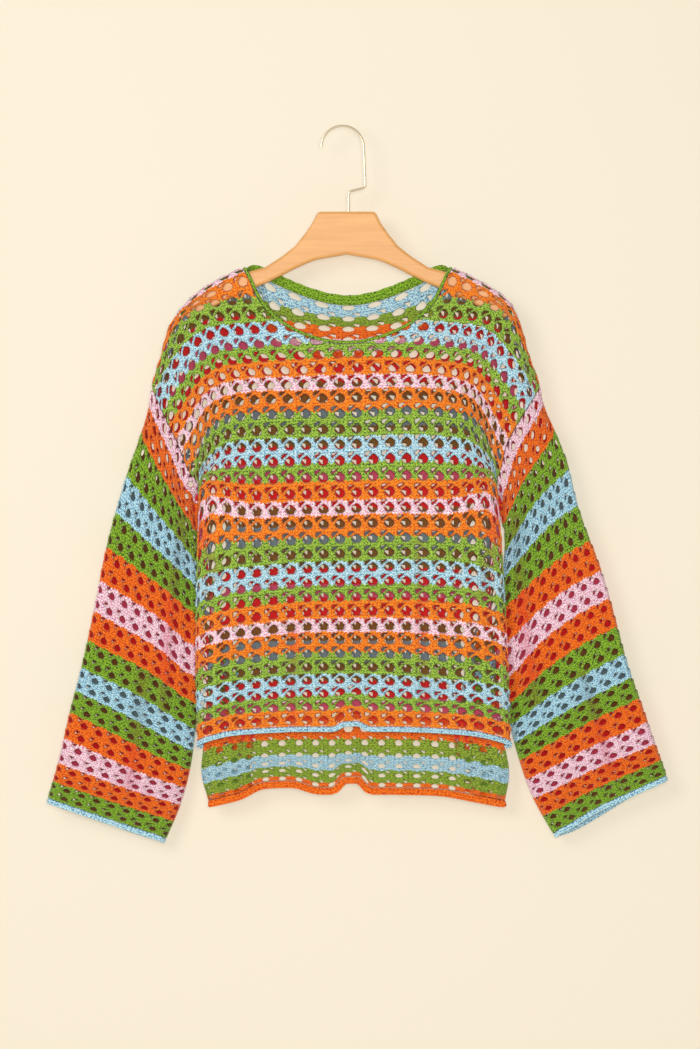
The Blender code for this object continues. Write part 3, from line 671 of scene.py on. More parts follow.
@dataclass
class Cell:
    """One cell of the net, one column wide and one row high: a round hole and a slanted one.

    The outlines are shares of the cell, the round hole's from its middle. A strap of yarn crosses
    between the holes and stands out. openness makes both holes larger or smaller. The yarn's thick
    middle has its points ridge_mm from the holes, nowhere nearer to one than clear_mm, and
    spacing_mm apart.
    """

    middle: tuple[float, float] = (0.62, 0.60)
    hole: tuple = (
        (-0.31, 0.01), (-0.26, -0.09), (-0.14, -0.23), (-0.02, -0.315), (0.12, -0.26), (0.25, -0.12),
        (0.305, 0.0), (0.27, 0.13), (0.20, 0.25), (0.08, 0.285), (-0.10, 0.285), (-0.22, 0.23), (-0.29, 0.11),
    )
    slit: tuple = (
        (0.135, 0.19), (0.16, 0.155), (0.32, 0.125), (0.47, 0.125),
        (0.44, 0.175), (0.31, 0.31), (0.18, 0.45), (0.145, 0.43),
    )
    strap: tuple = ((0.20, 0.60), (0.58, 0.17))
    strap_lift: float = 0.9
    strap_half: float = 2.0
    strap_rim: float = 0.08
    border_parts: int = 5
    openness: float = 1.0
    ridge_mm: float = 1.15
    clear_mm: float = 0.85
    spacing_mm: float = 1.6
    margin: float = 0.06

    @cached_property
    def holes(self) -> list[np.ndarray]:
        """The outlines of both holes, as shares of the cell."""
        slit = np.array(self.slit)
        centre = slit.mean(axis=0)
        return [np.array(self.hole) * self.openness + self.middle, centre + (slit - centre) * self.openness]

    @staticmethod
    def inside(points: np.ndarray, outline: np.ndarray) -> np.ndarray:
        """Whether each point lies inside a closed outline.

        Args:
            points: Points as shares of the cell.
            outline: The outline's corners in order.

        Returns:
            True for each point inside.
        """
        found = np.zeros(len(points), bool)
        for a, b in zip(outline, np.roll(outline, -1, axis=0), strict=True):
            crosses = (a[1] > points[:, 1]) != (b[1] > points[:, 1])
            rise = b[1] - a[1] if b[1] != a[1] else TINY**2
            found ^= crosses & (points[:, 0] < a[0] + (points[:, 1] - a[1]) / rise * (b[0] - a[0]))
        return found

    @staticmethod
    def distance(points: np.ndarray, outline: np.ndarray) -> np.ndarray:
        """How far each point is from an outline.

        Args:
            points: Points as shares of the cell.
            outline: The outline's corners in order.

        Returns:
            One distance in millimetres for each point.
        """
        best = np.full(len(points), np.inf)
        spots = points * CELL_MM
        for a, b in zip(outline * CELL_MM, np.roll(outline, -1, axis=0) * CELL_MM, strict=True):
            along = np.clip(((spots - a) @ (b - a)) / ((b - a) @ (b - a)), 0.0, 1.0)
            best = np.minimum(best, np.linalg.norm(spots - a - along[:, None] * (b - a), axis=1))
        return best

    def ridge_points(self) -> np.ndarray:
        """Points for the yarn's thick middle: round the holes, and then on a grid where there is room.

        Returns:
            Points as shares of the cell.
        """
        wanted = []
        for outline in self.holes:
            centre = outline.mean(axis=0)
            for point in outline:
                away = (point - centre) * CELL_MM
                wanted.append(point + away / np.linalg.norm(away) * self.ridge_mm / CELL_MM)
        grid = np.arange(0.1, 1.0, 0.2)
        wanted += [np.array([u, v]) for u in grid for v in grid]
        kept: list[np.ndarray] = []
        for point in wanted:
            here = point[None, :]
            crowded = any(np.linalg.norm((point - other) * CELL_MM) < self.spacing_mm for other in kept)
            at_border = min(point.min(), 1.0 - point.max()) <= self.margin
            for hole in self.holes:
                crowded |= self.inside(here, hole)[0] or self.distance(here, hole)[0] < self.clear_mm
            if not crowded and not at_border:
                kept.append(point)
        return np.array(kept)

    @cached_property
    def mesh(self) -> tuple[np.ndarray, np.ndarray, np.ndarray]:
        """The cell as a flat mesh.

        Returns:
            Its corners as shares of the cell, the swell of the yarn at each, and its triangles.
        """
        steps = np.arange(self.border_parts) / self.border_parts
        zero, one = np.zeros_like(steps), np.ones_like(steps)
        sides = ((steps, zero), (one, steps), (1 - steps, one), (zero, 1 - steps))
        outlines = [np.concatenate([np.stack(side, 1) for side in sides]), *self.holes]
        corners = np.concatenate([*outlines, self.ridge_points()])
        edges, start = [], 0
        for outline in outlines:
            count = len(outline)
            edges += [(start + i, start + (i + 1) % count) for i in range(count)]
            start += count
        found = geometry.delaunay_2d_cdt([Vector(p) for p in corners.tolist()], edges, [], 0, TINY)
        points = np.array([tuple(p) for p in found[0]])
        triangles = np.array([face for face in found[2] if len(face) == 3])
        for hole in self.holes:
            triangles = triangles[~self.inside(points[triangles].mean(axis=1), hole)]
        nearest = np.minimum(*[self.distance(points, hole) for hole in self.holes])
        swell = np.sqrt(1.0 - np.maximum(0.0, 1.0 - nearest / YARN_HALF) ** 2)
        swell[nearest < 1e-3] = 0.0
        return points, swell, triangles

    @cached_property
    def lift(self) -> np.ndarray:
        """How far each corner stands out: the strap lies on top of the net.

        Returns:
            Millimetres for each corner of the mesh.
        """
        points = self.mesh[0]
        start, end = np.array(self.strap)
        line = (end - start) * CELL_MM
        from_start = (points - start) * CELL_MM
        along = np.clip(from_start @ line / (line @ line), 0.0, 1.0)
        away = np.linalg.norm(from_start - along[:, None] * line, axis=1)
        rim = np.minimum(points, 1.0 - points).min(axis=1)
        return self.strap_lift * np.exp(-((away / self.strap_half) ** 2)) * np.minimum(1.0, rim / self.strap_rim)

    @property
    def solid_share(self) -> float:
        """How much of the cell is yarn."""
        points, _, triangles = self.mesh
        first, second, third = (points[triangles[:, k]] for k in range(3))
        return float(np.abs(np.cross(second - first, third - first)).sum() / 2.0)


@dataclass
class Net:
    """An open net of knit over a surface, between two columns and down to a row.

    Each kind of cell is used from its first row on. drift moves the cells sideways in the middle,
    stripe_shifts says how many rows further on the stripes are at some rows, top gives the row of
    the upper edge, and shade how deep in shade points of the inner face are.
    """

    surface: Surface
    columns: tuple[float, float]
    rows: float
    closed: bool = False
    flipped: bool = False
    stripe_shifts: tuple = ((0.0, 0.0), (1.0, 0.0))
    top: Callable[[np.ndarray], np.ndarray] | None = None
    shade: Callable[[np.ndarray], np.ndarray] | None = None
    drift: float = 0.0
    cells: tuple[tuple[float, Cell], ...] = ((0.0, Cell()),)
    closed_lead: float = 0.37
    least_row: float = 0.35
    crease_shade: float = 0.4

    def blocks(self) -> list[Block]:
        """The net's building blocks: cells, and plain strips where a column or row isn't whole.

        Returns:
            For each block, its corners as columns and rows, their swell and lift, and its triangles.
        """
        low, high = self.columns
        lead = np.array(self.cells[0][1].middle) - 0.5
        if self.closed:
            lead[0] = self.closed_lead
        whole_rows = math.ceil(self.rows + lead[1] - self.least_row)
        starts = np.stack(np.meshgrid(low + np.arange(high - low), np.arange(whole_rows), indexing="ij"), axis=-1)
        starts = starts.reshape(-1, 2) - lead
        found = []
        for start in starts:
            cell = [kind for first_row, kind in self.cells if start[1] + lead[1] >= first_row][-1]
            points, swell, triangles = cell.mesh
            found.append((start + points, swell, cell.lift, triangles))
        last_column, last_row = starts.max(axis=0) + 1.0
        beside, below = high - last_column, self.rows - last_row
        parts = self.cells[0][1].border_parts
        if below > 0.0:
            found += [self.strip((start, last_row), (1.0, below), parts, 2) for start in np.unique(starts[:, 0])]
        if beside > TINY and not self.closed:
            found += [self.strip((last_column, start), (beside, 1.0), 1, parts) for start in np.unique(starts[:, 1])]
            if below > 0.0:
                found.append(self.strip((last_column, last_row), (beside, below), 1, 2))
        return found

    @staticmethod
    def strip(start: tuple[float, float], size: tuple[float, float], across: int, down: int) -> Block:
        """A plain block without holes, as a grid of triangles.

        Args:
            start: Its first column and row.
            size: How many columns and rows it covers.
            across: Its parts across.
            down: Its parts down.

        Returns:
            Its corners as columns and rows, their swell and lift, and its triangles.
        """
        u, v = np.meshgrid(np.linspace(0.0, size[0], across + 1), np.linspace(0.0, size[1], down + 1), indexing="ij")
        points = np.stack([u.ravel(), v.ravel()], axis=1) + start
        first = (np.arange(across)[:, None] * (down + 1) + np.arange(down)).ravel()
        beside = first + down + 1
        halves = [np.stack([first, beside, beside + 1], 1), np.stack([first, beside + 1, first + 1], 1)]
        return points, np.ones(len(points)), np.zeros(len(points)), np.concatenate(halves)

    def flat(self) -> Block:
        """Lays all the blocks out flat and trims them to the net's edges.

        Returns:
            Their corners as columns and rows, the swell and lift, and the triangles.
        """
        low, high = self.columns
        blocks = self.blocks()
        flat, swell, lift = (np.concatenate([block[k] for block in blocks]) for k in range(3))
        firsts = np.cumsum([0] + [len(block[0]) for block in blocks[:-1]])
        triangles = np.concatenate([block[3] + first for block, first in zip(blocks, firsts, strict=True)])
        if not self.closed:
            flat[:, 0] = np.clip(flat[:, 0], low, high)
        if self.flipped:
            flat[:, 0] = low + high - flat[:, 0]
        flat[:, 0] += self.drift * (1.0 - (flat[:, 0] / high) ** 4)
        limit = np.zeros(len(flat)) if self.top is None else self.top(flat[:, 0])
        swell[(flat[:, 1] <= limit + TINY) | (flat[:, 1] >= self.rows - TINY)] = 0.0
        flat[:, 1] = np.clip(flat[:, 1], limit, self.rows)
        if not self.closed:
            swell[(flat[:, 0] <= low + TINY) | (flat[:, 0] >= high - TINY)] = 0.0
        first, second, third = (flat[triangles[:, k]] for k in range(3))
        area = (second - first)[:, 0] * (third - first)[:, 1] - (second - first)[:, 1] * (third - first)[:, 0]
        return flat, swell, lift, triangles[np.abs(area) > TINY / 10.0]

    def joined(self, flat: np.ndarray) -> tuple[np.ndarray, np.ndarray]:
        """Finds the corners that lie in one place, also across the seam of a closed net.

        Args:
            flat: All corners as columns and rows.

        Returns:
            One corner for each place, and the place of each corner.
        """
        steps_in_cell = 1e4
        place = flat.copy()
        if self.closed:
            low, high = self.columns
            place[:, 0] = (place[:, 0] - low) % (high - low)
            place[place[:, 0] > high - low - 0.1 / steps_in_cell, 0] = 0.0
        keys = np.round(place * steps_in_cell).astype(np.int64)
        _, kept, where = np.unique(keys, axis=0, return_index=True, return_inverse=True)
        return kept, where.reshape(-1)

    def build(self, name: str, material: bpy.types.Material) -> bpy.types.Object:
        """Lays the flat net over its surface and gives it the yarn's thickness, as one closed mesh.

        Args:
            name: The piece's name.
            material: The striped yarn.

        Returns:
            The new piece.
        """
        flat, swell, lift, corner = self.flat()
        kept, where = self.joined(flat)
        columns, rows, height = flat[kept, 0], flat[kept, 1], swell[kept]
        normals = self.surface.normals(columns, rows)
        middle = self.surface.points(columns, rows) + normals * (lift[kept] * np.minimum(1.0, height * 2.0))[:, None]
        offset = normals * (height * YARN_HALF)[:, None]
        spots = np.concatenate([middle + offset, middle - offset])
        outer = where[corner]
        proper = (outer[:, 0] != outer[:, 1]) & (outer[:, 1] != outer[:, 2]) & (outer[:, 0] != outer[:, 2])
        outer, corner = outer[proper], corner[proper]
        normal = np.cross(middle[outer[:, 1]] - middle[outer[:, 0]], middle[outer[:, 2]] - middle[outer[:, 0]])
        turned = np.einsum("ij,ij->i", normal, normals[outer].sum(axis=1)) < 0
        outer[turned], corner[turned] = outer[turned][:, ::-1], corner[turned][:, ::-1]
        # Both faces of the yarn meet where it has no height, along the holes and the edges.
        twin = np.arange(len(kept)) + len(kept)
        twin[height < TINY] = np.nonzero(height < TINY)[0]
        inner = twin[outer][:, ::-1]
        shift = np.interp(flat[:, 1], *zip(*self.stripe_shifts, strict=True))
        knit = (flat + np.stack([np.zeros_like(shift), shift], axis=1))[corner]
        # Painted shade: the outer face darkens toward the deep tone in creases, and the inner face takes the deep tone,
        # on the back panel as far as the front panel shades it.
        outer_shade = self.crease_shade * self.surface.hollow(middle)[outer]
        inner_shade = np.ones(inner.shape) if self.shade is None else self.shade(spots)[inner]
        depth = np.concatenate([outer_shade, inner_shade])
        used, compact = np.unique(np.concatenate([outer, inner]), return_inverse=True)
        piece = mesh_piece(name, spots[used], compact.reshape(-1, 3), material)
        set_uv(piece, "knit", np.concatenate([knit, knit[:, ::-1]]))
        set_uv(piece, "depth", np.stack([depth, depth], axis=-1))
        return piece


@dataclass
class Edging:
    """A close-knit edging, a flattened roll along an edge of the cloth that swells at every stitch."""

    width: Sequence[float] | float
    closed: bool = False
    thickness: float = 2.6
    stitch: float = 3.6
    thicker: float = 0.16
    wider: float = 0.05
    sides: int = 12

    def build(
        self, name: str, edge: np.ndarray, away: np.ndarray, normals: np.ndarray, material: bpy.types.Material
    ) -> bpy.types.Object:
        """Sweeps the roll along the edge, a seam's gap away from it.

        Args:
            name: The piece's name.
            edge: Points along the edge.
            away: Directions out of the cloth at them.
            normals: The cloth's normals at them.
            material: Its yarn.

        Returns:
            The new piece.
        """
        count, sides = len(edge), self.sides
        following = np.roll(edge, -1, axis=0) if self.closed else np.vstack([edge[1:], edge[-1:]])
        length = np.concatenate([[0.0], np.cumsum(np.linalg.norm(following - edge, axis=1))[:-1]])[:, None]
        width = np.broadcast_to(np.asarray(self.width, float), (count,))[:, None]
        beat = 0.5 + 0.5 * np.cos(2.0 * math.pi * length / self.stitch)
        angles = np.linspace(0.0, 2.0 * math.pi, sides, endpoint=False)
        sine = np.sin(angles)
        reach = width * (0.5 - 0.5 * np.cos(angles)) * (1.0 + self.wider * beat)
        swell = (1.0 + self.thicker * beat * sine**2) * (0.8 + 0.2 * reach / width)
        raised = 0.5 * self.thickness * sine * swell
        rings = edge[:, None] + (SEAM_GAP + reach)[..., None] * away[:, None] + raised[..., None] * normals[:, None]
        vertices = rings.reshape(-1, 3)
        round_it = reach + (sine < 0) * 2 * (width - reach)
        along = np.broadcast_to(length, round_it.shape)
        places = np.stack([along / COLUMN_MM, round_it / ROW_MM], axis=-1).reshape(-1, 2)
        faces = []
        for i in range(count if self.closed else count - 1):
            here, after = i * sides, (i + 1) % count * sides
            for k in range(sides):
                beside = (k + 1) % sides
                faces.append((here + k, here + beside, after + beside, after + k))
        if not self.closed:
            faces += [tuple(range(sides))[::-1], tuple(range((count - 1) * sides, count * sides))]
        corners = vertices[list(faces[0])]
        normal = np.cross(corners[1] - corners[0], corners[2] - corners[0])
        if normal @ (corners.mean(axis=0) - vertices[:sides].mean(axis=0)) < 0:
            faces = [face[::-1] for face in faces]
        piece = mesh_piece(name, vertices, faces, material)
        set_uv(piece, "knit", places[np.concatenate(faces)])
        return piece


# ---------------------------------------------------------------------------------------------
# Finishes
# ---------------------------------------------------------------------------------------------


class Yarn(Enum):
    """The yarn's colours: a light and a dark one, mixed by the yarn's own mottle and by the stitch relief, which paints
    highlight on top of a strand and shade between the strands; and a deep one, painted shade inside the garment and in
    creases.
    """

    PINK = ("#FFF0F8", "#CE74AA", "#D66886")
    ORANGE = ("#FF9C24", "#C23406", "#E03232")
    GREEN = ("#ACD24E", "#225018", "#94703A")
    BLUE = ("#D2F4FF", "#3088B6", "#8A9EA4")


def add_node(
    tree: bpy.types.NodeTree, kind: str, settings: dict | None = None, links: dict | None = None
) -> bpy.types.Node:
    """Adds one shader node.

    Args:
        tree: The material's node tree.
        kind: The node's type.
        settings: Attributes, or input values where the name is an input's.
        links: Input names or numbers, each with the socket that feeds it.

    Returns:
        The new node.
    """
    node = tree.nodes.new(kind)
    for name, value in (settings or {}).items():
        if hasattr(node, str(name)) and not isinstance(name, int):
            setattr(node, name, value)
        else:
            node.inputs[name].default_value = value
    for name, socket in (links or {}).items():
        tree.links.new(socket, node.inputs[name])
    return node


def new_material(name: str, settings: dict) -> tuple[bpy.types.Material, bpy.types.NodeTree, bpy.types.Node]:
    """Makes a material with its values on the main shader.

    Args:
        name: The material's name.
        settings: A value for each input that isn't at its default.

    Returns:
        The material, its node tree and its main shader.
    """
    material = bpy.data.materials.new(name)
    material.use_nodes = True
    shader = material.node_tree.nodes["Principled BSDF"]
    for socket, value in settings.items():
        shader.inputs[socket].default_value = value
    return material, material.node_tree, shader


@dataclass(frozen=True)
class YarnFinish:
    """Matt mottled yarn, striped or in one colour, with the relief of its stitches, bumped and also painted into the
    colour as highlight and shade.

    A stitch is 5 mm wide and 3.6 mm high. Each stripe's edge has a tooth at every stitch and a
    finger in every column, both in rows. A deepening above 1 makes all colours deeper.
    """

    name: str
    stripes: Stripes | None = None
    yarn: Yarn = Yarn.GREEN
    deepening: float = 1.0
    stitch_mm: tuple[float, float] = (5.0, 3.6)
    tooth: float = 0.26
    finger: float = 0.30

    def build(self) -> bpy.types.Material:
        """Makes the material. The eye sees soft, slightly fuzzy yarn with dark gaps between its stitches, painted shade
        in the colour as well as a bump.

        Returns:
            The material.
        """
        matt = {"Roughness": 0.8, "Sheen Weight": 0.2, "Sheen Roughness": 0.5, "Specular IOR Level": 0.25}
        material, tree, shader = new_material(self.name, matt)
        place = add_node(tree, "ShaderNodeUVMap", {"uv_map": "knit"})
        split = add_node(tree, "ShaderNodeSeparateXYZ", links={0: place.outputs[0]})
        cell = {"operation": "MULTIPLY", 1: (COLUMN_MM, ROW_MM, 0.0)}
        millimetres = add_node(tree, "ShaderNodeVectorMath", cell, {0: place.outputs[0]}).outputs[0]
        # Per millimetre: a blotch of dye every 2.4 mm, and fuzz every 1.1 mm, coarser than real hairs so that it shows.
        blotch, hair = {"Scale": 0.42, "Detail": 3.0, "Roughness": 0.7}, {"Scale": 0.9, "Detail": 2.0, "Roughness": 0.6}
        mottle = add_node(tree, "ShaderNodeTexNoise", blotch, {"Vector": millimetres})
        fuzz = add_node(tree, "ShaderNodeTexNoise", hair, {"Vector": millimetres})
        values = {
            "column": split.outputs[0], "row": split.outputs[1], "mottle": mottle.outputs[0], "fuzz": fuzz.outputs[0],
        }
        for name, operation, *terms in self.sums():
            numbers = {i: term for i, term in enumerate(terms) if not isinstance(term, str)}
            links = {i: values[term] for i, term in enumerate(terms) if isinstance(term, str)}
            values[name] = add_node(tree, "ShaderNodeMath", {"operation": operation, **numbers}, links).outputs[0]
        tree.links.new(self.colour(tree, values), shader.inputs["Base Color"])
        bump = add_node(tree, "ShaderNodeBump", {"Strength": 0.9, "Distance": 0.9 * MM}, {"Height": values["height"]})
        tree.links.new(bump.outputs[0], shader.inputs["Normal"])
        return material

    def sums(self) -> list[tuple]:
        """The sums behind the stitches and the stripes.

        Returns:
            For each, its name, its operation and its terms. A term in words is an earlier value.
        """
        stitch = [
            ("across", "MULTIPLY", "column", COLUMN_MM / self.stitch_mm[0]),
            ("down", "MULTIPLY", "row", ROW_MM / self.stitch_mm[1]),
            ("uneven", "MULTIPLY_ADD", "mottle", 0.9, "down"),
            ("chevron", "PINGPONG", "across", 0.5),
            ("slanted", "MULTIPLY_ADD", "chevron", 1.2, "uneven"),
            ("turns", "MULTIPLY", "slanted", 2.0 * math.pi),
            ("wave", "SINE", "turns"),
            ("strand", "MULTIPLY_ADD", "wave", 0.5, 0.5),
            ("half turns", "MULTIPLY", "across", math.pi),
            ("ribs", "SINE", "half turns"),
            ("gully", "ABSOLUTE", "ribs"),
            ("soft gully", "POWER", "gully", 0.5),
            ("relief", "MULTIPLY", "strand", "soft gully"),
            ("height", "MULTIPLY_ADD", "fuzz", 0.5, "relief"),
            ("both noises", "ADD", "mottle", "fuzz"),
            ("spots", "MULTIPLY_ADD", "both noises", 7.0, -6.5),
            ("soft spots", "MULTIPLY", "spots", 0.75),
            # The tone mixes the dark and light colours: the relief paints shade between the strands and highlight on
            # their tops, and the soft spots are the yarn's own mottle.
            ("tone", "MULTIPLY_ADD", "relief", 0.9, "soft spots"),
        ]
        if self.stripes is None:
            return stitch
        return stitch + [
            ("teeth", "MULTIPLY", "chevron", self.tooth),
            ("swing", "PINGPONG", "column", 0.5),
            ("fingers", "MULTIPLY_ADD", "swing", self.finger, -0.4 * self.finger),
            ("edge", "ADD", "teeth", "fingers"),
            ("level", "ADD", "row", "edge"),
            ("cycles", "DIVIDE", "level", self.stripes.value[0]),
            ("turn", "FRACT", "cycles"),
        ]

    def deepened(self, hex_colour: str) -> tuple[float, ...]:
        """The colour in linear light, deeper where the deepening is above 1."""
        return tuple(part**self.deepening for part in linear(hex_colour))

    def colour(self, tree: bpy.types.NodeTree, values: dict[str, bpy.types.NodeSocket]) -> bpy.types.NodeSocket:
        """Adds the yarn's colour to a material.

        Args:
            tree: The material's node tree.
            values: Its named values, with the tone of the strands and the turn of the stripes.

        Returns:
            The socket with the colour.
        """
        blend = {"data_type": "RGBA", "clamp_factor": True}
        # Dark and light colour by the tone: painted shade between the strands and painted highlight on their tops, over
        # the yarn's own mottle.
        mix = add_node(tree, "ShaderNodeMix", blend, {0: values["tone"]})
        if self.stripes is None:
            mix.inputs[6].default_value = self.deepened(self.yarn.value[1])
            mix.inputs[7].default_value = self.deepened(self.yarn.value[0])
            return mix.outputs[2]
        # The depth map mixes in the deep tone: painted shade inside the garment and in creases.
        depth = add_node(tree, "ShaderNodeUVMap", {"uv_map": "depth"})
        inner = add_node(tree, "ShaderNodeSeparateXYZ", links={0: depth.outputs[0]})
        shade = add_node(tree, "ShaderNodeMix", blend, {0: inner.outputs[0], 6: mix.outputs[2]})
        length, bands = self.stripes.value
        for tone_number, target in ((1, mix.inputs[6]), (0, mix.inputs[7]), (2, shade.inputs[7])):
            ramp = add_node(tree, "ShaderNodeValToRGB", links={0: values["turn"]})
            ramp.color_ramp.interpolation = "CONSTANT"
            elements = ramp.color_ramp.elements
            while len(elements) > 1:
                elements.remove(elements[-1])
            for i, (start, name) in enumerate(bands):
                element = elements[0] if i == 0 else elements.new(start / length)
                element.position = start / length
                element.color = self.deepened(Yarn[name.upper()].value[tone_number])
            tree.links.new(ramp.outputs[0], target)
        return shade.outputs[2]


@dataclass(frozen=True)
class Beech:
    """Sawn beech under a thin satin varnish, with its grain along the hanger.

    The grain's streaks are 110 mm long and 8 by 7 mm apart, coarser than real ones so that they
    show. grain_per_metre holds how many there are along X, Y and Z.
    """

    name: str = "light_beech"
    grain_per_metre: Point = (9.0, 120.0, 140.0)
    pale: str = "#EDB570"
    dark: str = "#BE8040"

    def build(self) -> bpy.types.Material:
        """Makes the material. The eye sees pale warm wood with long soft streaks and a dull shine.

        Returns:
            The material.
        """
        material, tree, shader = new_material(self.name, {"Roughness": 0.42, "Coat Weight": 0.15})
        place = add_node(tree, "ShaderNodeTexCoord")
        metres = {"Vector": place.outputs["Object"]}
        stretched = add_node(tree, "ShaderNodeMapping", {"Scale": self.grain_per_metre}, metres)
        streaks = {"Scale": 1.0, "Detail": 5.0, "Roughness": 0.6, "Distortion": 0.6}
        grain = add_node(tree, "ShaderNodeTexNoise", streaks, {"Vector": stretched.outputs[0]}).outputs[0]
        shades = {"data_type": "RGBA", 6: linear(self.dark), 7: linear(self.pale)}
        mix = add_node(tree, "ShaderNodeMix", shades, {0: grain})
        tree.links.new(mix.outputs[2], shader.inputs["Base Color"])
        bump = add_node(tree, "ShaderNodeBump", {"Strength": 0.1, "Distance": 0.3 * MM}, {"Height": grain})
        tree.links.new(bump.outputs[0], shader.inputs["Normal"])
        return material


@dataclass(frozen=True)
class BrightWire:
    """Drawn steel wire, plated bright and a little worn."""

    name: str = "bright_wire"
    colour: str = "#D8CCB4"
    roughness: float = 0.3
    metallic: float = 0.75

    def build(self) -> bpy.types.Material:
        """Makes the material. The eye sees pale warm metal with soft highlights."""
        settings = {"Base Color": linear(self.colour), "Roughness": self.roughness, "Metallic": self.metallic}
        return new_material(self.name, settings)[0]


@dataclass(frozen=True)
class WallPaint:
    """Matt wall paint. It can't be seen from behind, so that the sweater's back shows there."""

    name: str = "pale_wall"
    colour: str = "#ABA498"
    glow: str = "#B5AD9D"
    roughness: float = 0.9

    def build(self) -> bpy.types.Material:
        """Makes the material. The eye sees an even pale grey, which glows a little so that shadows stay soft.

        Returns:
            The material.
        """
        settings = {"Base Color": linear(self.colour), "Roughness": self.roughness}
        settings |= {"Emission Color": linear(self.glow), "Emission Strength": 1.0}
        material, tree, shader = new_material(self.name, settings)
        facing = add_node(tree, "ShaderNodeNewGeometry").outputs["Backfacing"]
        clear = add_node(tree, "ShaderNodeBsdfTransparent").outputs[0]
        mix = add_node(tree, "ShaderNodeMixShader", links={0: facing, 1: shader.outputs[0], 2: clear})
        tree.links.new(mix.outputs[0], tree.nodes["Material Output"].inputs[0])
        return material


# ---------------------------------------------------------------------------------------------
# The sub-assemblies
# ---------------------------------------------------------------------------------------------


def edge_frame(
    surface: Surface, columns: np.ndarray, rows: np.ndarray, inside: float, closed: bool
) -> tuple[np.ndarray, np.ndarray, np.ndarray]:
    """Points along an edge of a surface with the directions out of it.

    Args:
        surface: The cloth.
        columns: Columns along the edge.
        rows: Rows along the edge.
        inside: How many rows to go to be inside the cloth.
        closed: Whether the edge is a ring.

    Returns:
        The points, the directions out of the cloth, and the normals.
    """
    edge = surface.points(columns, rows)
    normals = surface.normals(columns, rows + inside * 0.1)
    along = np.roll(edge, -1, axis=0) - np.roll(edge, 1, axis=0)
    if not closed:
        along[0], along[-1] = edge[1] - edge[0], edge[-1] - edge[-2]
    away = unit(np.cross(along, normals))
    outward = np.einsum("ij,ij->i", away, edge - surface.points(columns, rows + inside))
    return edge, away * np.where(outward < 0, -1.0, 1.0)[:, None], normals


def front_panel() -> Panel:
    """The front: the shorter panel, with the deep scoop of the neck."""
    return Panel(
        FRONT_SECTIONS,
        FRONT_ROW_PLACES,
        FRONT_HEM_ROW,
        neck_rows=5.83,
        neck_power=1.0,
        creases=FRONT_CREASES,
        folds=FRONT_FOLDS,
        sways=BODY_SWAYS,
    )


def back_panel() -> Panel:
    """The back: the longer panel, whose top sags between the shoulders."""
    return Panel(
        BACK_SECTIONS,
        BACK_ROW_PLACES,
        BACK_HEM_ROW,
        neck_rows=1.3,
        neck_power=0.6,
        creases=BACK_CREASES,
        folds=BACK_FOLDS,
        is_back=True,
        sag=45.0,
    )


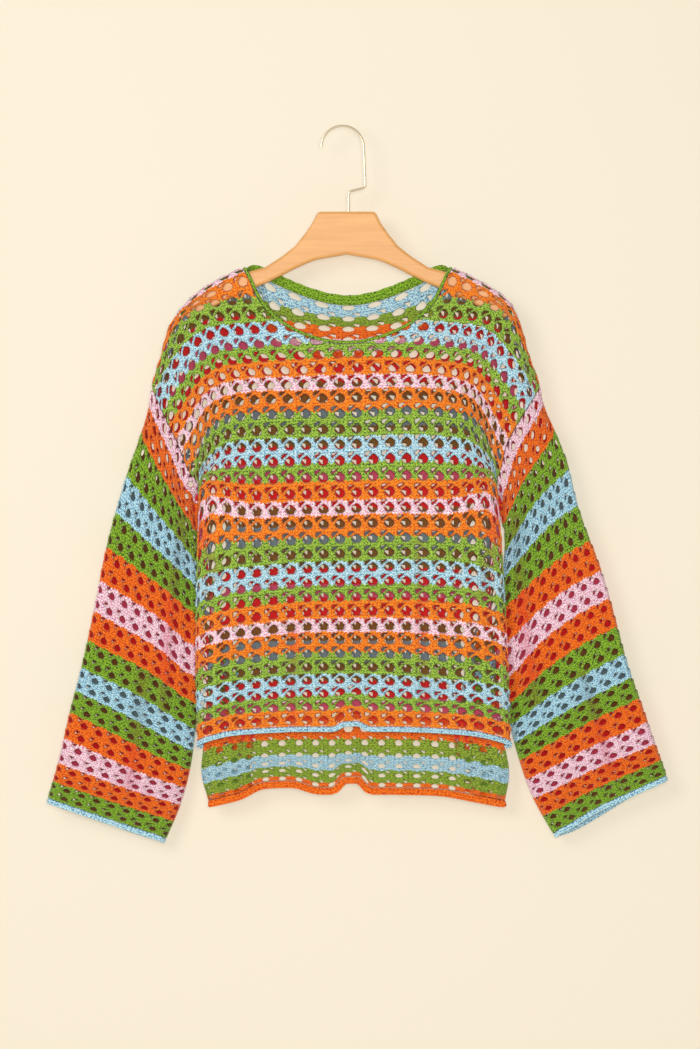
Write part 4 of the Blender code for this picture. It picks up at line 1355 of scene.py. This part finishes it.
@dataclass
class Sweater:
    """The knitted sweater: two panels, two sleeves and their edgings, with the edgings' widths."""

    front: Panel = field(default_factory=front_panel)
    back: Panel = field(default_factory=back_panel)
    front_band: float = 3.6
    back_band: float = 12.0
    front_edging: float = 6.0
    back_edging: float = 8.5
    cuff_edging: float = 6.0
    edge_step: float = 0.1
    edge_inside: float = 0.3
    band_rise: float = 1.6
    least_shade: float = 0.2
    shade_fade_mm: tuple[float, float] = (30.0, 14.0)

    def build(self) -> None:
        """Builds every knitted piece."""
        body = YarnFinish("striped_knit", Stripes.BODY, deepening=1.06).build()
        rear = YarnFinish("striped_back_knit", Stripes.BACK, deepening=1.25).build()
        arm = YarnFinish("striped_sleeve_knit", Stripes.SLEEVE, deepening=1.45).build()
        blue = YarnFinish("blue_yarn", yarn=Yarn.BLUE, deepening=1.3).build()
        orange = YarnFinish("orange_yarn", yarn=Yarn.ORANGE, deepening=1.4).build()
        green = YarnFinish("green_yarn", yarn=Yarn.GREEN, deepening=1.5).build()
        half = (-SIDE_COLUMN, SIDE_COLUMN)
        front_net = Net(self.front, half, FRONT_HEM_ROW, top=self.front.top)
        front = front_net.build("front_net", body)
        back_net = Net(
            self.back,
            half,
            BACK_HEM_ROW,
            top=self.back.top,
            shade=self.behind_front,
            flipped=True,
            stripe_shifts=BACK_STRIPE_SHIFTS,
            drift=0.5,
            cells=((0.0, Cell(openness=0.84)), (5.0, Cell(openness=0.92)), (31.0, Cell(openness=0.7))),
        )
        back = back_net.build("back_net", rear)
        front_hem = self.hem(self.front, self.front_edging, "front_hem_roll", blue)
        back_hem = self.hem(self.back, self.back_edging, "back_hem_roll", orange)
        band = self.neckband(green)
        self.place(front_hem, "front_hem_edging", "blue_edging")
        self.place(back_hem, "back_hem_edging", "orange_edging")
        self.place(band, "neckband", "green_rib")
        front_cut = self.cut(front_net, self.front.neck_rows)
        back_cut = self.cut(back_net, self.back.neck_rows)
        self.place(front, "front_panel", "front_knit", front_cut, "hanger_wood", [front_hem])
        self.place(back, "back_panel", "back_knit", back_cut, "hanger_wood", [back_hem, band])
        for side in Side:
            self.sleeve(side, arm, blue)

    def sleeve(self, side: Side, knit: bpy.types.Material, yarn: bpy.types.Material) -> None:
        """Builds one sleeve with the edging of its cuff.

        Args:
            side: Which one.
            knit: The finish of its net.
            yarn: The finish of its edging.
        """
        word = side.name.lower()
        sleeve = Sleeve(side, self.front, self.back)
        around = (0.0, float(SLEEVE_COLUMNS))
        flipped = side is Side.RIGHT
        net = Net(sleeve, around, CUFF_ROW, closed=True, flipped=flipped, cells=((0.0, Cell(openness=0.76)),))
        tube = net.build(f"sleeve_{word}_net", knit)
        cuff = self.cuff(sleeve, f"cuff_roll_{word}", yarn)
        self.place(cuff, f"cuff_edging_{word}", "blue_edging")
        self.place(tube, f"sleeve_{word}", "sleeve_knit", self.cut(net), "front_net", [cuff])

    def behind_front(self, points: np.ndarray) -> np.ndarray:
        """How much the front panel shades points of the back panel.

        Args:
            points: Points in millimetres.

        Returns:
            1 behind the front panel, and least_shade above and below it.
        """
        columns = np.linspace(-SIDE_COLUMN, SIDE_COLUMN, 53)
        upper = self.front.points(columns, self.front.top(columns))
        lower = self.front.points(columns, np.full(len(columns), FRONT_HEM_ROW))
        upper, lower = upper[np.argsort(upper[:, 0])], lower[np.argsort(lower[:, 0])]
        top = np.interp(points[:, 0], upper[:, 0], upper[:, 2])
        hem = np.interp(points[:, 0], lower[:, 0], lower[:, 2])
        below_top = ease((top - points[:, 2]) / self.shade_fade_mm[0])
        above_hem = ease((points[:, 2] - hem) / self.shade_fade_mm[1])
        return self.least_shade + (1.0 - self.least_shade) * below_top * above_hem

    @staticmethod
    def cut(net: Net, neck_rows: float = 0.0) -> tuple[float, float, float]:
        """The flat cut of a net.

        Args:
            net: The net.
            neck_rows: How deep its neckline dips, which is cut out as half an ellipse.

        Returns:
            Width and length in metres, and the area of its yarn without the holes.
        """
        columns = net.columns[1] - net.columns[0]
        cells = columns * net.rows - 0.5 * math.pi * NECK_COLUMN * neck_rows
        ends = [first_row for first_row, _ in net.cells[1:]] + [net.rows]
        yarn_rows = 0.0
        for (first_row, kind), end in zip(net.cells, ends, strict=True):
            yarn_rows += kind.solid_share * (end - first_row)
        width, height = COLUMN_MM * MM, ROW_MM * MM
        return columns * width, net.rows * height, cells * width * height * yarn_rows / net.rows

    @staticmethod
    def place(
        piece: bpy.types.Object,
        node: str,
        slot: str,
        cut: tuple[float, ...] = (),
        rests_on: str = "",
        trims: Sequence[bpy.types.Object] = (),
    ) -> None:
        """Puts one piece in its node's place.

        Args:
            piece: The knitted piece.
            node: The solid that it replaces.
            slot: A name for its finish's slot. It is not used.
            cut: A net's flat width, length and area, in metres. It is not used.
            rests_on: What holds a net up. It is not used.
            trims: The edgings on a net. It is not used.
        """
        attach(piece, "root")
        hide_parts(node)
        log.info("%s: %d faces", piece.name, len(piece.data.polygons))

    def cuff(self, sleeve: Sleeve, name: str, material: bpy.types.Material) -> bpy.types.Object:
        """Builds the edging of a sleeve's cuff.

        Args:
            sleeve: The sleeve.
            name: The piece's name.
            material: Its yarn.

        Returns:
            The new piece.
        """
        columns = np.arange(0.0, SLEEVE_COLUMNS, self.edge_step)
        rows = np.full(len(columns), CUFF_ROW)
        edge, away, normals = edge_frame(sleeve, columns, rows, -self.edge_inside, True)
        return Edging(self.cuff_edging, closed=True).build(name, edge, away, normals, material)

    def hem(self, panel: Panel, width: float, name: str, material: bpy.types.Material) -> bpy.types.Object:
        """Builds the edging of a panel's hem.

        Args:
            panel: The panel.
            width: The edging's width.
            name: The piece's name.
            material: Its yarn.

        Returns:
            The new piece.
        """
        columns = np.arange(-SIDE_COLUMN, SIDE_COLUMN + 0.01, self.edge_step)
        rows = np.full(len(columns), panel.hem_row)
        edge, away, normals = edge_frame(panel, columns, rows, -self.edge_inside, False)
        return Edging(width).build(name, edge, away, normals, material)

    def neckband(self, material: bpy.types.Material) -> bpy.types.Object:
        """Builds the band round the neck, from its right end over the back to its left end.

        Args:
            material: Its yarn.

        Returns:
            The new piece.
        """
        angles = np.radians(np.linspace(-90.0, 90.0, 141))
        columns = NECK_COLUMN * np.sin(angles)
        front, front_away, front_normals = edge_frame(
            self.front, columns, self.front.top(columns), self.edge_inside, False
        )
        back, back_away, back_normals = edge_frame(self.back, columns, self.back.top(columns), self.edge_inside, False)
        front_away[[0, -1]] = back_away[[0, -1]] = unit(front_away[[0, -1]] + back_away[[0, -1]])
        edge = np.concatenate([front, back[-2:0:-1]])
        away = np.concatenate([front_away, back_away[-2:0:-1]])
        normals = np.concatenate([front_normals, back_normals[-2:0:-1]])
        height = np.concatenate([np.zeros(len(front)), np.cos(angles)[-2:0:-1]])
        widths = self.front_band + ease(height * self.band_rise) * (self.back_band - self.front_band)
        return Edging(widths, closed=True).build("neck_roll", edge, away, normals, material)


@dataclass
class Hanger:
    """The wooden hanger and its wire hook, which keep the shapes of their solids."""

    wood: Beech = field(default_factory=Beech)
    wire: BrightWire = field(default_factory=BrightWire)

    def build(self, nodes: dict[str, bpy.types.Object]) -> None:
        """Dresses the hanger's own solids.

        Args:
            nodes: The part's solids by name.
        """
        nodes["hanger_wood"].material_slots[0].material = self.wood.build()
        nodes["hook"].material_slots[0].material = self.wire.build()
        log.info("hanger dressed")


@dataclass
class Studio:
    """A pale wall close behind, soft light from the upper left, and the camera, all in metres.

    A lamp has a name, a place, a size, a power in watts, a colour, and whether it casts shadows.
    The rear one casts none, so it shines through the wall. It only counts in views from behind.
    """

    wall_depth: float = 0.036
    floor_height: float = -2.2
    half_width: float = 4.0
    wall_top: float = 2.5
    floor_front: float = -6.0
    air_colour: str = "#FFF8EE"
    air_strength: float = 0.40
    camera_place: Point = (0.009, -3.2, -0.477)
    lens: float = 91.5
    sweater_middle: Point = (0.0, 0.0, -0.45)
    lamps: tuple = (
        ("key", (-1.3, -2.4, 0.4), 1.2, 33.0, "#FFFAF2", True),
        ("front", (0.1, -3.1, -0.3), 0.5, 40.0, "#FFFDFA", True),
        ("rear", (0.9, 2.8, 0.3), 1.2, 30.0, "#FFFAF2", False),
    )

    def build(self) -> None:
        """Makes the wall, the floor, the lights and the camera."""
        self.room()
        for name, place, size, power, colour, shadows in self.lamps:
            self.light(name, place, size, power, colour, shadows)
        world = bpy.data.worlds.new("studio_air")
        world.use_nodes = True
        world.node_tree.nodes["Background"].inputs[0].default_value = linear(self.air_colour)
        world.node_tree.nodes["Background"].inputs[1].default_value = self.air_strength
        bpy.context.scene.world = world
        bpy.context.scene.view_settings.view_transform = "Standard"
        data = bpy.data.cameras.new("camera")
        data.lens = self.lens
        camera = bpy.data.objects.new("camera", data)
        camera.location = self.camera_place
        camera.rotation_euler = (math.radians(90.0), 0.0, 0.0)
        bpy.context.scene.collection.objects.link(camera)
        bpy.context.scene.camera = camera
        log.info("studio set")

    def room(self) -> None:
        """Makes the wall behind the sweater and the floor in front of it."""
        paint = WallPaint().build()
        left, right, near = -self.half_width, self.half_width, self.floor_front
        back, low, high = self.wall_depth, self.floor_height, self.wall_top
        for name, corners in (
            ("wall", ((left, back, low), (right, back, low), (right, back, high), (left, back, high))),
            ("floor", ((left, near, low), (right, near, low), (right, back, low), (left, back, low))),
        ):
            piece = mesh_piece(name, np.array(corners) / MM, [(0, 1, 2, 3)], paint)

    def light(self, name: str, place: Point, size: float, power: float, colour: str, shadows: bool) -> None:
        """Adds one soft square light that looks at the sweater's middle.

        Args:
            name: The light's name.
            place: Where it stands.
            size: Its side.
            power: Its watts.
            colour: Its sRGB hex colour.
            shadows: Whether it casts any.
        """
        data = bpy.data.lights.new(name, "AREA")
        data.use_shadow = shadows
        data.size = size
        data.energy = power
        data.color = linear(colour)[:3]
        lamp = bpy.data.objects.new(name, data)
        lamp.location = place
        lamp.rotation_euler = (Vector(self.sweater_middle) - Vector(place)).to_track_quat("-Z", "Y").to_euler()
        bpy.context.scene.collection.objects.link(lamp)


def main() -> None:
    """Builds the sweater, the hanger and the studio, in that order."""
    logging.basicConfig(level=logging.INFO, format="%(message)s")
    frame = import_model()
    Sweater().build()
    Hanger().build(frame["nodes"])
    Studio().build()


if __name__ == "__main__":
    main()
